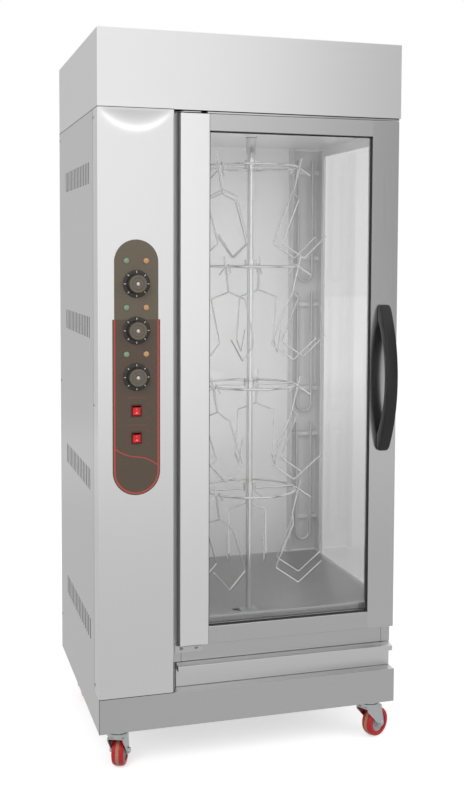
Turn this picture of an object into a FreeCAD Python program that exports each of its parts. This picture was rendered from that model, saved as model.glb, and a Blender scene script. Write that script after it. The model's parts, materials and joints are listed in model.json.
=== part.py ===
import FreeCAD, Part
import math
import os
import re

from FreeCAD import Placement, Rotation, Vector
import Sketcher

# Vertical rotisserie: a stainless steel cabinet on four swivel casters, with a control column on
# the left, a glazed oven chamber with a hinged door on the right, a turning spit that carries
# hooks on four rings, and a drip tray under a funnel floor.
# Frame: +X to the right, +Y to the back, +Z up, the floor at zero and the door at the front.

# Driving sizes, in millimetres, and degrees where the name says so
SIZES = {
    # Cabinet
    "cabinet_width": 765,
    "cabinet_depth": 640,
    "caster_height": 105.5,
    "plinth_height": 85,
    "plinth_flange": 150,
    "body_height": 1402.5,
    "hood_height": 182,
    "sheet_gauge": 1.5,
    "column_width": 182.5,
    "column_return": 64,
    "frame_setback": 32.5,
    "left_post": 36,
    "right_post": 27.5,
    # Side vents
    "vent_slot_width": 9,
    "vent_slot_height": 52,
    "vent_length": 395,
    "vent_count": 16,
    "vent_shift": 32.5,
    "vent_head_margin": 145,
    "vent_foot_margin": 135,
    # Oven chamber
    "partition_offset": 10,
    "side_frame_depth": 12.5,
    "side_frame_border": 48,
    "side_glass_rebate": 10,
    "back_cavity": 86,
    "ceiling_drop": 28,
    "pan_rim_rise": 171.5,
    "pan_flange": 14,
    "pan_depth": 94,
    "pan_outlet": 150,
    "drain_length": 60,
    "drain_width": 14,
    "drain_offset": 52,
    # Heaters
    "trough_width": 90,
    "trough_depth": 40,
    "trough_gap": 6,
    "element_radius": 4.25,
    "element_spread": 22,
    "element_gap": 30,
    "clip_height": 12,
    "clip_inset": 40,
    # Door
    "door_gap": 16,
    "door_side_gap": 4.5,
    "door_head_gap": 7,
    "door_rise": 112.5,
    "door_thickness": 28,
    "stile_width": 71.5,
    "top_rail": 40,
    "bottom_rail": 43,
    "glass_thickness": 5,
    "glass_setback": 11,
    "glass_groove": 9,
    "glass_clearance": 0.25,
    "pivot_inset": 8,
    "pin_radius": 4,
    "pin_length": 18,
    "ear_thickness": 3,
    "ear_gap": 2,
    "ear_reach": 56,
    "ear_setback": 3,
    "ear_corner": 14,
    "bracket_drop": 22,
    # Handle
    "handle_length": 368,
    "handle_span": 288,
    "handle_reach": 62,
    "handle_grip_gap": 44,
    "handle_width": 30,
    "handle_inset": 38,
    "handle_end": 11,
    "handle_edge": 5,
    # Controls
    "fascia_gauge": 1,
    "fascia_rise": 490.5,
    "fascia_height": 606,
    "fascia_step": 418,
    "fascia_upper_width": 105.5,
    "fascia_lower_width": 114.4,
    "knob_rise": 282,
    "knob_pitch": 110,
    "knob_skirt_radius": 32.5,
    "knob_skirt_gauge": 4,
    "knob_cap_radius": 23,
    "knob_cap_height": 20,
    "spindle_radius": 3,
    "spindle_length": 24,
    "thermostat_width": 36,
    "thermostat_depth": 30,
    "lamp_radius": 6.5,
    "lamp_rise": 54,
    "lamp_spread": 23.6,
    "lamp_proud": 3,
    "rocker_low_rise": 137,
    "rocker_pitch": 65,
    "bezel_width": 25,
    "bezel_height": 29,
    "bezel_wall": 3,
    "bezel_proud": 2,
    "bezel_body": 22,
    "rocker_depth": 7,
    "rocker_dish": 2,
    "rocker_tilt_degrees": 10,
    "rocker_pivot_depth": 3,
    "rocker_side_gap": 0.5,
    "rocker_end_gap": 2,
    # Spit
    "spit_offset": 9.5,
    "shaft_radius": 9,
    "foot_radius": 6,
    "foot_length": 12,
    "bearing_width": 48,
    "bearing_height": 16,
    "boss_radius": 13,
    "boss_length": 44,
    "spigot_radius": 7,
    "spigot_length": 50,
    "ceiling_hole_gap": 4,
    "ring_radius": 125,
    "ring_bar": 4.4,
    "spoke_radius": 1.8,
    "hub_radius": 17,
    "hub_height": 24,
    "hub_drop": 6,
    "tier_head_room": 78,
    "tier_foot_room": 256,
    "tier_two_shift": 24,
    "tier_three_shift": -5,
    # Gear motor
    "gearbox_width": 110,
    "gearbox_depth": 90,
    "gearbox_height": 84,
    "motor_radius": 36,
    "motor_length": 112,
    # Hooks
    "hook_wire_radius": 2,
    "hook_weld_overlap": 0.4,
    "hook_spike": 24,
    "hook_spike_lean": 12.6,
    "hook_flare": 32,
    "hook_flare_drop": 27,
    "hook_crook_reach": 13,
    "hook_crook_drop": 14,
    "hook_neck_drop": 64.5,
    "hook_neck_lean": 23,
    "hook_shoulder_drop": 19,
    "hook_half_width": 52,
    "hook_side_lean": 63,
    "hook_foot_room": 48,
    "hook_prong_reach": 54.5,
    "hook_prong_drop": 47.5,
    "hook_tip_reach": 68,
    "hook_tip_rise": 49.5,
    "hook_hang_degrees": 8.5,
    # Drip tray
    "tray_front_height": 62,
    "tray_front_gap": 1,
    "tray_side_gap": 2,
    "tray_lip_reach": 24,
    "tray_lip_slope": 4,
    "tray_lip_drop": 17,
    "tray_depth": 490,
    "tray_wall": 45,
    # Casters
    "wheel_radius": 38,
    "wheel_width": 30,
    "axle_radius": 4,
    "caster_trail": 24,
    "caster_side_inset": 52,
    "caster_front_inset": 38,
    "caster_rear_inset": 105,
    "plate_width": 75,
    "plate_depth": 62,
    "plate_gauge": 2.5,
    "race_radius": 24,
    "race_height": 7,
    "crown_radius": 26,
    "crown_height": 9,
    "fork_gauge": 3,
    "fork_gap": 2.5,
    "fork_top_half": 27,
    "fork_shoulder": 8,
    "fork_eye_radius": 11,
    "front_left_heading_degrees": 66,
    "front_right_heading_degrees": 27,
    "rear_left_heading_degrees": -90,
    "rear_right_heading_degrees": -60,
    # Fittings
    "gland_reach": 18,
    "gland_nut_radius": 14,
    "gland_nut_height": 7,
    "gland_dome_radius": 10,
    "gland_bore_radius": 4.5,
    "gland_inset": 92,
    "gland_rise": 70,
    # Clearances
    "running_clearance": 0.05,
    "seat_clearance": 0.3,
    "ring_clearance": 0.7,
    "hole_clearance": 0.5,
}

# Places worked out from the driving sizes
PLACES = {
    "wheel_overhang": "(caster_trail + wheel_radius) * cos(front_right_heading_degrees)"
    " + wheel_width / 2 * sin(front_right_heading_degrees) - caster_side_inset",
    "left": "-(cabinet_width + wheel_overhang) / 2",
    "right": "left + cabinet_width",
    "front": "handle_reach - (cabinet_depth + handle_reach + gland_reach) / 2",
    "back": "front + cabinet_depth",
    "plinth_bottom": "caster_height",
    "plinth_top": "plinth_bottom + plinth_height",
    "body_top": "plinth_top + body_height",
    "hood_top": "body_top + hood_height",
    "column_right": "left + column_width",
    "column_middle": "(left + column_right) / 2",
    "frame_face": "front + frame_setback",
    "frame_rear": "frame_face + sheet_gauge",
    "partition_face": "column_right + partition_offset + sheet_gauge",
    "side_face": "right - side_frame_depth",
    "liner_face": "back - back_cavity",
    "ceiling": "body_top - ceiling_drop",
    "pan_rim": "plinth_top + pan_rim_rise",
    "pan_floor": "pan_rim - pan_depth",
    "tray_top": "plinth_top + seat_clearance + tray_front_height",
    "sill_bottom": "tray_top + tray_front_gap",
    "door_left": "column_right + door_gap",
    "door_right": "right - door_side_gap",
    "door_bottom": "plinth_top + door_rise",
    "door_top": "body_top - door_head_gap",
    "door_rear": "front + door_thickness",
    "pivot_x": "door_left + pivot_inset",
    "pivot_y": "front + door_thickness / 2",
    "fascia_face": "front - fascia_gauge",
    "fascia_bottom": "plinth_top + fascia_rise",
    "chamber_middle": "(partition_face + side_face) / 2",
    "shaft_x": "chamber_middle - spit_offset",
    "shaft_y": "(frame_rear + liner_face) / 2",
    "bearing_top": "pan_floor + bearing_height",
    "boss_bottom": "ceiling - boss_length",
    "tier_pitch": "(ceiling - tier_head_room - pan_rim - tier_foot_room) / 3",
    "tier_four": "pan_rim + tier_foot_room",
    "tier_three": "tier_four + tier_pitch + tier_three_shift",
    "tier_two": "tier_four + 2 * tier_pitch + tier_two_shift",
    "tier_one": "tier_four + 3 * tier_pitch",
    "trough_bottom": "pan_rim + trough_gap",
    "trough_top": "ceiling - trough_gap",
    "element_y": "liner_face - trough_depth / 2",
    "element_run": "(trough_top - trough_bottom - 4 * element_gap) / 3",
}

# Flats on the round pieces that are made as prisms
FLATS = {
    "spindle_hole": 8,
    "gland_nut": 6,
    "gland_dome": 12,
    "gland_bore": 8,
    "ceiling_hole": 16,
    "motor": 20,
    "ring": 32,
    "spoke": 4,
    "hub": 8,
    "hub_bore": 12,
    "knob_skirt": 24,
    "knob_cap": 16,
    "lamp": 12,
    "race": 12,
    "crown": 12,
    "axle": 8,
    "wheel": 36,
}

doc = FreeCAD.newDocument("VerticalRotisserie")
sheet = doc.addObject("Spreadsheet::Sheet", "Sizes")
for row, (name, value) in enumerate(SIZES.items(), start=1):
    sheet.set(f"A{row}", name)
    sheet.set(f"B{row}", str(value))
    sheet.setAlias(f"B{row}", name)
doc.recompute()

PIECES = []
ALONG = {
    "x": Rotation(Vector(0, 1, 0), 90),
    "y": Rotation(Vector(1, 0, 0), -90),
    "z": Rotation(),
}


def size(text):
    """Writes an expression in sizes and places as the document reads it."""

    def swap(match):
        word = match[0]
        if word in PLACES:
            return f"({size(PLACES[word])})"
        return f"Sizes.{word}" if word in SIZES else word

    return re.sub(r"[a-z]\w*", swap, text)


def bind(item, **sizes):
    """Ties an object's sizes to expressions."""
    for prop, text in sizes.items():
        item.setExpression(prop, size(text))
    return item


def put(item, x="0", y="0", z="0", turn=Rotation()):
    """Turns an object and ties its place to expressions."""
    item.Placement = Placement(Vector(), turn)
    for axis, text in zip("xyz", (x, y, z)):
        item.setExpression(f"Placement.Base.{axis}", size(text))
    return item


def box(name, x, y, z):
    """A box between pairs of places along the three axes."""
    item = doc.addObject("Part::Box", name)
    (x0, x1), (y0, y1), (z0, z1) = x, y, z
    bind(item, Length=f"({x1}) - ({x0})", Width=f"({y1}) - ({y0})", Height=f"({z1}) - ({z0})")
    return put(item, x0, y0, z0)


def rod(name, radius, place, length, along="z"):
    """A cylinder from a place along one axis."""
    item = bind(doc.addObject("Part::Cylinder", name), Radius=radius, Height=length)
    return put(item, *place, turn=ALONG[along])


def prism(name, kind, radius, place, height, along="z"):
    """A prism with the flats of its kind, which stand at a radius, from a place along one axis."""
    item = doc.addObject("Part::Prism", name)
    item.Polygon = FLATS[kind]
    bind(item, Circumradius=f"({radius}) / cos({180 / FLATS[kind]:g})", Height=height)
    return put(item, *place, turn=ALONG[along])


def fuse(name, *items):
    """Several objects joined into one."""
    item = doc.addObject("Part::MultiFuse", name)
    item.Shapes = list(items)
    item.Refine = True
    return item


def cut(name, base, *tools):
    """An object with one or more others taken away."""
    item = doc.addObject("Part::Cut", name)
    item.Base = base
    item.Tool = tools[0] if len(tools) == 1 else fuse(name + "Tools", *tools)
    return item


def group(name, items):
    """Like pieces kept as separate solids under one name."""
    item = doc.addObject("Part::Compound", name)
    item.Links = list(items)
    return item


def piece(item):
    """Lists a finished sub-part, whose label names its file."""
    PIECES.append(item)
    return item


def new_sketch(body, name, role):
    """A sketch on one of a body's own origin planes."""
    sketch = body.newObject("Sketcher::SketchObject", name)
    plane = next(item for item in body.Origin.OriginFeatures if item.Role == role)
    sketch.AttachmentSupport = [(plane, "")]
    sketch.MapMode = "FlatFace"
    return sketch


def outline(sketch, points):
    """A closed outline of straight edges, each corner tied to two expressions."""
    count = len(points)
    turns = [2 * math.pi * index / count for index in range(count)]
    corners = [Vector(math.cos(turn), math.sin(turn), 0) for turn in turns]
    first = sketch.GeometryCount
    for index in range(count):
        sketch.addGeometry(Part.LineSegment(corners[index], corners[(index + 1) % count]), False)
    for index in range(count):
        edge = first + index
        following = first + (index + 1) % count
        sketch.addConstraint(Sketcher.Constraint("Coincident", edge, 2, following, 1))
    for index, point in enumerate(points):
        for kind, start, text in zip(("DistanceX", "DistanceY"), (corners[index].x, corners[index].y), point):
            rule = sketch.addConstraint(Sketcher.Constraint(kind, -1, 1, first + index, 1, start))
            sketch.setExpression(f"Constraints[{rule}]", size(text))


def pad_body(name, role, points, length, midplane=False):
    """A body padded from one straight-edged outline on an origin plane."""
    body = doc.addObject("PartDesign::Body", name)
    sketch = new_sketch(body, name + "Outline", role)
    outline(sketch, points)
    pad = body.newObject("PartDesign::Pad", name + "Pad")
    pad.Profile = sketch
    pad.SideType = "Symmetric" if midplane else "One side"
    bind(pad, Length=length)
    return body


def turned_body(name, points):
    """A body turned about its own Z axis from half of its section."""
    body = doc.addObject("PartDesign::Body", name)
    sketch = new_sketch(body, name + "Section", "XZ_Plane")
    outline(sketch, points)
    turned = body.newObject("PartDesign::Revolution", name + "Turned")
    turned.Profile = sketch
    turned.ReferenceAxis = (sketch, ["V_Axis"])
    turned.Angle = 360
    return body


# Base plinth: a folded steel box with a wide flange underneath for the casters
plinth = box("PlinthBox", ("left", "right"), ("front", "back"), ("plinth_bottom", "plinth_top"))
plinth_hollow = box(
    "PlinthHollow",
    ("left + sheet_gauge", "right - sheet_gauge"),
    ("front + sheet_gauge", "back - sheet_gauge"),
    ("plinth_bottom + sheet_gauge", "plinth_top - sheet_gauge"),
)
plinth_window = box(
    "PlinthWindow",
    ("left + plinth_flange", "right - plinth_flange"),
    ("front + plinth_flange", "back - plinth_flange"),
    ("plinth_bottom", "plinth_bottom + sheet_gauge"),
)
piece(cut("base_plinth", plinth, plinth_hollow, plinth_window))

# Left side panel: flat sheet with four rows of upright vent slots
side_panel = pad_body(
    "left_side_panel",
    "YZ_Plane",
    [
        ("front + column_return", "plinth_top"),
        ("back", "plinth_top"),
        ("back", "body_top"),
        ("front + column_return", "body_top"),
    ],
    "sheet_gauge",
)
slot_sketch = new_sketch(side_panel, "VentSlotOutline", "YZ_Plane")
vent_start = "(front + column_return + back - vent_length) / 2 - vent_shift"
vent_low = "plinth_top + vent_foot_margin - vent_slot_height / 2"
outline(
    slot_sketch,
    [
        (vent_start, vent_low),
        (f"{vent_start} + vent_slot_width", vent_low),
        (f"{vent_start} + vent_slot_width", f"{vent_low} + vent_slot_height"),
        (vent_start, f"{vent_low} + vent_slot_height"),
    ],
)
slot_pocket = side_panel.newObject("PartDesign::Pocket", "VentSlot")
slot_pocket.Profile = slot_sketch
slot_pocket.Type = "ThroughAll"
slot_pocket.Reversed = True
vent_rows = side_panel.newObject("PartDesign::MultiTransform", "VentRows")
vent_rows.Originals = [slot_pocket]
vent_across = side_panel.newObject("PartDesign::LinearPattern", "VentAcross")
vent_across.Direction = (slot_sketch, ["H_Axis"])
bind(vent_across, Length="vent_length - vent_slot_width", Occurrences="vent_count")
vent_up = side_panel.newObject("PartDesign::LinearPattern", "VentUp")
vent_up.Direction = (slot_sketch, ["V_Axis"])
vent_up.Occurrences = 4
bind(vent_up, Length="body_height - vent_head_margin - vent_foot_margin")
vent_rows.Transformations = [vent_across, vent_up]
side_panel.Tip = vent_rows
put(side_panel, "left")
piece(side_panel)

# Openings through the control column and its fascia
control_holes = []
hole_start = "fascia_face - hole_clearance"
hole_length = "fascia_gauge + sheet_gauge + 2 * hole_clearance"
for number in range(3):
    knob_z = f"fascia_bottom + knob_rise + {number} * knob_pitch"
    control_holes.append(
        prism(
            f"SpindleHole{number}",
            "spindle_hole",
            "spindle_radius + hole_clearance",
            ("column_middle", hole_start, knob_z),
            hole_length,
            "y",
        )
    )
for number in range(2):
    rocker_z = f"fascia_bottom + rocker_low_rise + {number} * rocker_pitch"
    control_holes.append(
        box(
            f"RockerHole{number}",
            ("column_middle - bezel_width / 2 + bezel_wall - sheet_gauge",
             "column_middle + bezel_width / 2 - bezel_wall + sheet_gauge"),
            (hole_start, f"{hole_start} + {hole_length}"),
            (f"{rocker_z} - bezel_height / 2 + bezel_wall - sheet_gauge",
             f"{rocker_z} + bezel_height / 2 - bezel_wall + sheet_gauge"),
        )
    )
control_openings = fuse("ControlOpenings", *control_holes)

# Control column: one sheet folded into a channel, tall as the body
column_channel = pad_body(
    "ColumnChannel",
    "XY_Plane",
    [
        ("left", "front"),
        ("column_right", "front"),
        ("column_right", "frame_face"),
        ("column_right - sheet_gauge", "frame_face"),
        ("column_right - sheet_gauge", "front + sheet_gauge"),
        ("left + sheet_gauge", "front + sheet_gauge"),
        ("left + sheet_gauge", "front + column_return"),
        ("left", "front + column_return"),
    ],
    "body_height",
)
put(column_channel, z="plinth_top")
piece(cut("control_column", column_channel, control_openings))

# Control fascia: an overlay plate with half-round ends, a little wider over its lower part
half_upper = "fascia_upper_width / 2"
half_lower = "fascia_lower_width / 2"
fascia_blank = fuse(
    "FasciaBlank",
    box(
        "FasciaUpper",
        (f"column_middle - {half_upper}", f"column_middle + {half_upper}"),
        ("fascia_face", "front"),
        ("fascia_bottom + fascia_step", f"fascia_bottom + fascia_height - {half_upper}"),
    ),
    box(
        "FasciaLower",
        (f"column_middle - {half_lower}", f"column_middle + {half_lower}"),
        ("fascia_face", "front"),
        (f"fascia_bottom + {half_lower}", "fascia_bottom + fascia_step"),
    ),
    rod(
        "FasciaTopEnd",
        half_upper,
        ("column_middle", "fascia_face", f"fascia_bottom + fascia_height - {half_upper}"),
        "fascia_gauge",
        "y",
    ),
    rod(
        "FasciaBottomEnd",
        half_lower,
        ("column_middle", "fascia_face", f"fascia_bottom + {half_lower}"),
        "fascia_gauge",
        "y",
    ),
)
piece(cut("control_fascia", fascia_blank, control_openings))

# Top hood: an inverted box of folded sheet over the drive
hood = box("HoodBox", ("left", "right"), ("front", "back"), ("body_top", "hood_top"))
hood_hollow = box(
    "HoodHollow",
    ("left + sheet_gauge", "right - sheet_gauge"),
    ("front + sheet_gauge", "back - sheet_gauge"),
    ("body_top", "hood_top - sheet_gauge"),
)
piece(cut("top_hood", hood, hood_hollow))

# Back panel, with a hole for the cable gland
gland_place = ("left + gland_inset", "back", "plinth_top + gland_rise")
back_sheet = box(
    "BackSheet",
    ("left + sheet_gauge", "right"),
    ("back - sheet_gauge", "back"),
    ("plinth_top", "body_top"),
)
gland_hole = prism(
    "GlandHole",
    "gland_dome",
    "gland_dome_radius + running_clearance",
    (gland_place[0], "back - 2 * sheet_gauge", gland_place[2]),
    "3 * sheet_gauge",
    "y",
)
piece(cut("back_panel", back_sheet, gland_hole))

# Cable gland: a hexagon body with a domed nut, bored for the supply cord
gland_body = fuse(
    "GlandBody",
    prism("GlandNut", "gland_nut", "gland_nut_radius", gland_place, "gland_nut_height", "y"),
    prism(
        "GlandDome",
        "gland_dome",
        "gland_dome_radius",
        (gland_place[0], "back - 2 * gland_nut_height", gland_place[2]),
        "gland_reach + 2 * gland_nut_height",
        "y",
    ),
)
gland_bore = prism(
    "GlandBore",
    "gland_bore",
    "gland_bore_radius",
    (gland_place[0], "back - 2 * gland_nut_height", gland_place[2]),
    "gland_reach + 2 * gland_nut_height",
    "y",
)
piece(cut("cable_gland", gland_body, gland_bore))


def eased(pair, gap):
    """A pair of places moved in by a gap, or out by a negative one."""
    return (f"{pair[0]} + {gap}", f"{pair[1]} - {gap}")


# Right side frame: a picture frame of box section round the side window, rebated for its glass
# and hollow behind its sheet, open at the foot where it stands on the plinth
window_y = ("frame_rear + side_frame_border", "liner_face - side_frame_border")
window_z = ("pan_rim + sheet_gauge", "ceiling - side_frame_border / 2")
side_frame = box(
    "SideFrameBox", ("side_face", "right"), ("frame_rear", "back - sheet_gauge"), ("plinth_top", "body_top")
)
side_window = box("SideWindow", ("side_face", "right"), window_y, window_z)
side_rebate = box(
    "SideRebate",
    ("right - glass_thickness - glass_clearance", "right"),
    (f"{window_y[0]} - side_glass_rebate", f"{window_y[1]} + side_glass_rebate"),
    (f"{window_z[0]} - side_glass_rebate", f"{window_z[1]} + side_glass_rebate"),
)
rebate_y = eased(window_y, "-side_glass_rebate")
hollow_x = eased(("side_face", "right"), "sheet_gauge")
post_z = ("plinth_top", "body_top - sheet_gauge")
apron_z = ("plinth_top", f"{window_z[0]} - side_glass_rebate - sheet_gauge")
front_post = box("FrontPost", hollow_x, eased(("frame_rear", rebate_y[0]), "sheet_gauge"), post_z)
rear_post = box("RearPost", hollow_x, eased((rebate_y[1], "back - sheet_gauge"), "sheet_gauge"), post_z)
apron = box("SideApron", hollow_x, rebate_y, apron_z)
piece(cut("right_side_frame", side_frame, side_window, side_rebate, front_post, rear_post, apron))

# Right side glass, bedded in the rebate
piece(
    box(
        "right_side_glass",
        ("right - glass_thickness", "right"),
        (f"{window_y[0]} - side_glass_rebate + glass_clearance",
         f"{window_y[1]} + side_glass_rebate - glass_clearance"),
        (f"{window_z[0]} - side_glass_rebate + glass_clearance",
         f"{window_z[1]} + side_glass_rebate - glass_clearance"),
    )
)

# Chamber walls: the partition beside the control bay, the back liner and the ceiling
piece(
    box(
        "chamber_partition",
        ("partition_face - sheet_gauge", "partition_face"),
        ("frame_rear", "liner_face + sheet_gauge"),
        ("plinth_top", "body_top"),
    )
)
piece(
    box(
        "chamber_back_liner",
        ("partition_face", "side_face"),
        ("liner_face", "liner_face + sheet_gauge"),
        ("plinth_top", "body_top"),
    )
)
ceiling_sheet = box(
    "CeilingSheet",
    ("partition_face", "side_face"),
    ("frame_rear", "liner_face"),
    ("ceiling", "ceiling + sheet_gauge"),
)
ceiling_hole = prism(
    "CeilingHole",
    "ceiling_hole",
    "boss_radius + ceiling_hole_gap",
    ("shaft_x", "shaft_y", "ceiling - sheet_gauge"),
    "3 * sheet_gauge",
)
piece(cut("chamber_ceiling", ceiling_sheet, ceiling_hole))


def funnel(name, drop):
    """The tapering space of the funnel floor, lowered by a drop."""
    item = doc.addObject("Part::Wedge", name)
    half_x = "(side_face - partition_face) / 2 - pan_flange"
    half_y = "(liner_face - frame_rear) / 2 - pan_flange"
    bind(item, Xmin=f"-({half_x})", Xmax=half_x, Zmin=f"-({half_y})", Zmax=half_y)
    bind(item, X2min="-pan_outlet / 2", X2max="pan_outlet / 2")
    bind(item, Z2min="-pan_outlet / 2", Z2max="pan_outlet / 2")
    bind(item, Ymin="0", Ymax="pan_depth")
    return put(item, "chamber_middle", "shaft_y", f"pan_rim - {drop}", Rotation(Vector(1, 0, 0), -90))


# Funnel floor: a flanged pan that falls on four sides to a flat outlet with drain holes
pan_flange = box(
    "PanFlange", ("partition_face", "side_face"), ("frame_rear", "liner_face"), ("pan_rim - sheet_gauge", "pan_rim")
)
drains = []
for side in (-1, 1):
    middle = f"shaft_y + {side} * drain_offset"
    drains.append(
        box(
            f"Drain{side}",
            ("shaft_x - drain_length / 2", "shaft_x + drain_length / 2"),
            (f"{middle} - drain_width / 2", f"{middle} + drain_width / 2"),
            ("pan_floor - 2 * sheet_gauge", "pan_floor + sheet_gauge"),
        )
    )
pan_shell = fuse("PanShell", pan_flange, funnel("PanOutside", "sheet_gauge"))
piece(cut("funnel_floor", pan_shell, funnel("PanInside", "0"), *drains))

# Front frame: the plate behind the door, with posts, sill and header round the oven mouth
frame_plate = box(
    "FramePlate", ("column_right", "right"), ("frame_face", "frame_rear"), ("sill_bottom", "body_top")
)
frame_mouth = box(
    "FrameMouth",
    ("column_right + left_post", "right - right_post"),
    ("frame_face", "frame_rear"),
    ("pan_rim", "ceiling"),
)
piece(cut("front_frame", frame_plate, frame_mouth))


def hinge_ear(name, level):
    """A hinge ear at a level, with its free front corners cut off."""
    blank = box(
        name + "Plate",
        ("pivot_x - ear_corner", "pivot_x + ear_reach"),
        ("front + ear_setback", "frame_face"),
        (level, f"{level} + ear_thickness"),
    )
    doc.recompute()
    corner = [
        index
        for index, edge in enumerate(blank.Shape.Edges, start=1)
        if abs(edge.tangentAt(edge.FirstParameter).z) > 0.9
        and edge.CenterOfMass.y < blank.Shape.BoundBox.Center.y
    ]
    ear = doc.addObject("Part::Chamfer", name)
    ear.Base = blank
    radius = float(sheet.get("ear_corner"))
    ear.Edges = [(index, radius, radius) for index in corner]
    return ear


# Hinge brackets: two ears with fixed pins, on which the door hangs
low_ear = "door_bottom - ear_gap - ear_thickness"
high_ear = "door_top + ear_gap"
lower_bracket = fuse(
    "LowerBracket",
    hinge_ear("LowerEar", low_ear),
    box(
        "LowerLeg",
        ("pivot_x - ear_corner", "pivot_x + ear_reach"),
        ("frame_face - ear_thickness", "frame_face"),
        (f"{low_ear} - bracket_drop", low_ear),
    ),
    rod("LowerPin", "pin_radius", ("pivot_x", "pivot_y", low_ear), "ear_thickness + ear_gap + pin_length"),
)
upper_bracket = fuse(
    "UpperBracket",
    hinge_ear("UpperEar", high_ear),
    rod("UpperPin", "pin_radius", ("pivot_x", "pivot_y", "door_top - pin_length"),
        "pin_length + ear_gap + ear_thickness"),
)
piece(group("hinge_brackets", [lower_bracket, upper_bracket]))

# Door: two full-height stiles with rails butted between them, grooved for the glass and hollow
# behind their sheet, with a solid edge for the hinge pins
glass_x = ("door_left + stile_width - glass_groove", "door_right - stile_width + glass_groove")
glass_y = ("front + glass_setback", "front + glass_setback + glass_thickness")
glass_z = ("door_bottom + bottom_rail - glass_groove", "door_top - top_rail + glass_groove")
glass_slot = box("GlassSlot", glass_x, eased(glass_y, "-glass_clearance"), glass_z)
pin_bores = fuse(
    "PinBores",
    rod("LowerBore", "pin_radius + running_clearance", ("pivot_x", "pivot_y", "door_bottom"),
        "pin_length + seat_clearance"),
    rod("UpperBore", "pin_radius + running_clearance",
        ("pivot_x", "pivot_y", "door_top - pin_length - seat_clearance"), "pin_length + seat_clearance"),
)
door_z = ("door_bottom", "door_top")
door_y = ("front", "door_rear")
hinge_bar = box("HingeBar", ("door_left", "door_left + stile_width"), door_y, door_z)
handle_bar = box("HandleBar", ("door_right - stile_width", "door_right"), door_y, door_z)
rail_x = ("door_left + stile_width", "door_right - stile_width")
top_bar = box("TopBar", rail_x, door_y, ("door_top - top_rail", "door_top"))
bottom_bar = box("BottomBar", rail_x, door_y, ("door_bottom", "door_bottom + bottom_rail"))
hollow_y = eased(door_y, "sheet_gauge")
stile_z = ("door_bottom", "door_top - sheet_gauge")
hinge_hollow = box("HingeHollow", ("door_left + 2 * pivot_inset", f"{glass_x[0]} - sheet_gauge"), hollow_y, stile_z)
handle_hollow = box("HandleHollow", eased((glass_x[1], "door_right"), "sheet_gauge"), hollow_y, stile_z)
top_hollow = box("TopHollow", rail_x, hollow_y, eased((glass_z[1], "door_top"), "sheet_gauge"))
bottom_hollow = box("BottomHollow", rail_x, hollow_y, eased(("door_bottom", glass_z[0]), "sheet_gauge"))
piece(cut("door_hinge_stile", hinge_bar, glass_slot, pin_bores, hinge_hollow))
piece(cut("door_handle_stile", handle_bar, glass_slot, handle_hollow))
piece(cut("door_top_rail", top_bar, glass_slot, top_hollow))
piece(cut("door_bottom_rail", bottom_bar, glass_slot, bottom_hollow))
piece(box("door_glass", eased(glass_x, "glass_clearance"), glass_y, eased(glass_z, "glass_clearance")))

# Door handle: a bowed pull between two arcs, with blunt ends and its long edges bevelled
handle_x = "door_right - handle_inset - handle_width / 2"
handle_z = "(door_bottom + door_top) / 2"
handle_rise = "(handle_reach - handle_end)"
outer_arc = f"(handle_length * handle_length / 4 + {handle_rise} * {handle_rise}) / (2 * {handle_rise})"
inner_arc = "(handle_span * handle_span / 4 + handle_grip_gap * handle_grip_gap) / (2 * handle_grip_gap)"
handle_outer = rod(
    "HandleOuter", outer_arc, (handle_x, f"front - handle_reach + {outer_arc}", handle_z), "handle_width", "x"
)
handle_inner = rod(
    "HandleInner", inner_arc, (handle_x, f"front - handle_grip_gap + {inner_arc}", handle_z), "handle_width", "x"
)
handle_zone = box(
    "HandleZone",
    (handle_x, f"{handle_x} + handle_width"),
    ("front - 2 * handle_reach", "front"),
    (f"{handle_z} - handle_length / 2", f"{handle_z} + handle_length / 2"),
)
handle_disc = doc.addObject("Part::Common", "HandleDisc")
handle_disc.Base = handle_outer
handle_disc.Tool = handle_zone
handle_bow = cut("HandleBow", handle_disc, handle_inner)
doc.recompute()
handle = doc.addObject("Part::Chamfer", "door_handle")
handle.Base = handle_bow
handle_edge = float(sheet.get("handle_edge"))
long_edges = [
    index
    for index, edge in enumerate(handle_bow.Shape.Edges, start=1)
    if edge.Curve.TypeId == "Part::GeomCircle" and edge.Curve.Radius > handle_bow.Shape.BoundBox.YLength
]
handle.Edges = [(index, handle_edge, handle_edge) for index in long_edges]
piece(handle)


def bent_wire(points, radius):
    """A wire of six flats along straight runs with mitred bends, which lies mostly in the XZ plane."""
    start, ahead = points[0], (points[1] - points[0]).normalize()
    across = ahead.cross(Vector(0, 1, 0)).normalize()
    beside = ahead.cross(across)
    turns = [math.radians(60 * step) for step in range(6)]
    corners = [start + (across * math.cos(turn) + beside * math.sin(turn)) * radius for turn in turns]
    shell = Part.BRepOffsetAPI.MakePipeShell(Part.makePolygon(points))
    shell.setTransitionMode(1)
    shell.add(Part.makePolygon(corners + corners[:1]), False, False)
    shell.build()
    shell.makeSolid()
    return shell.shape()


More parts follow.
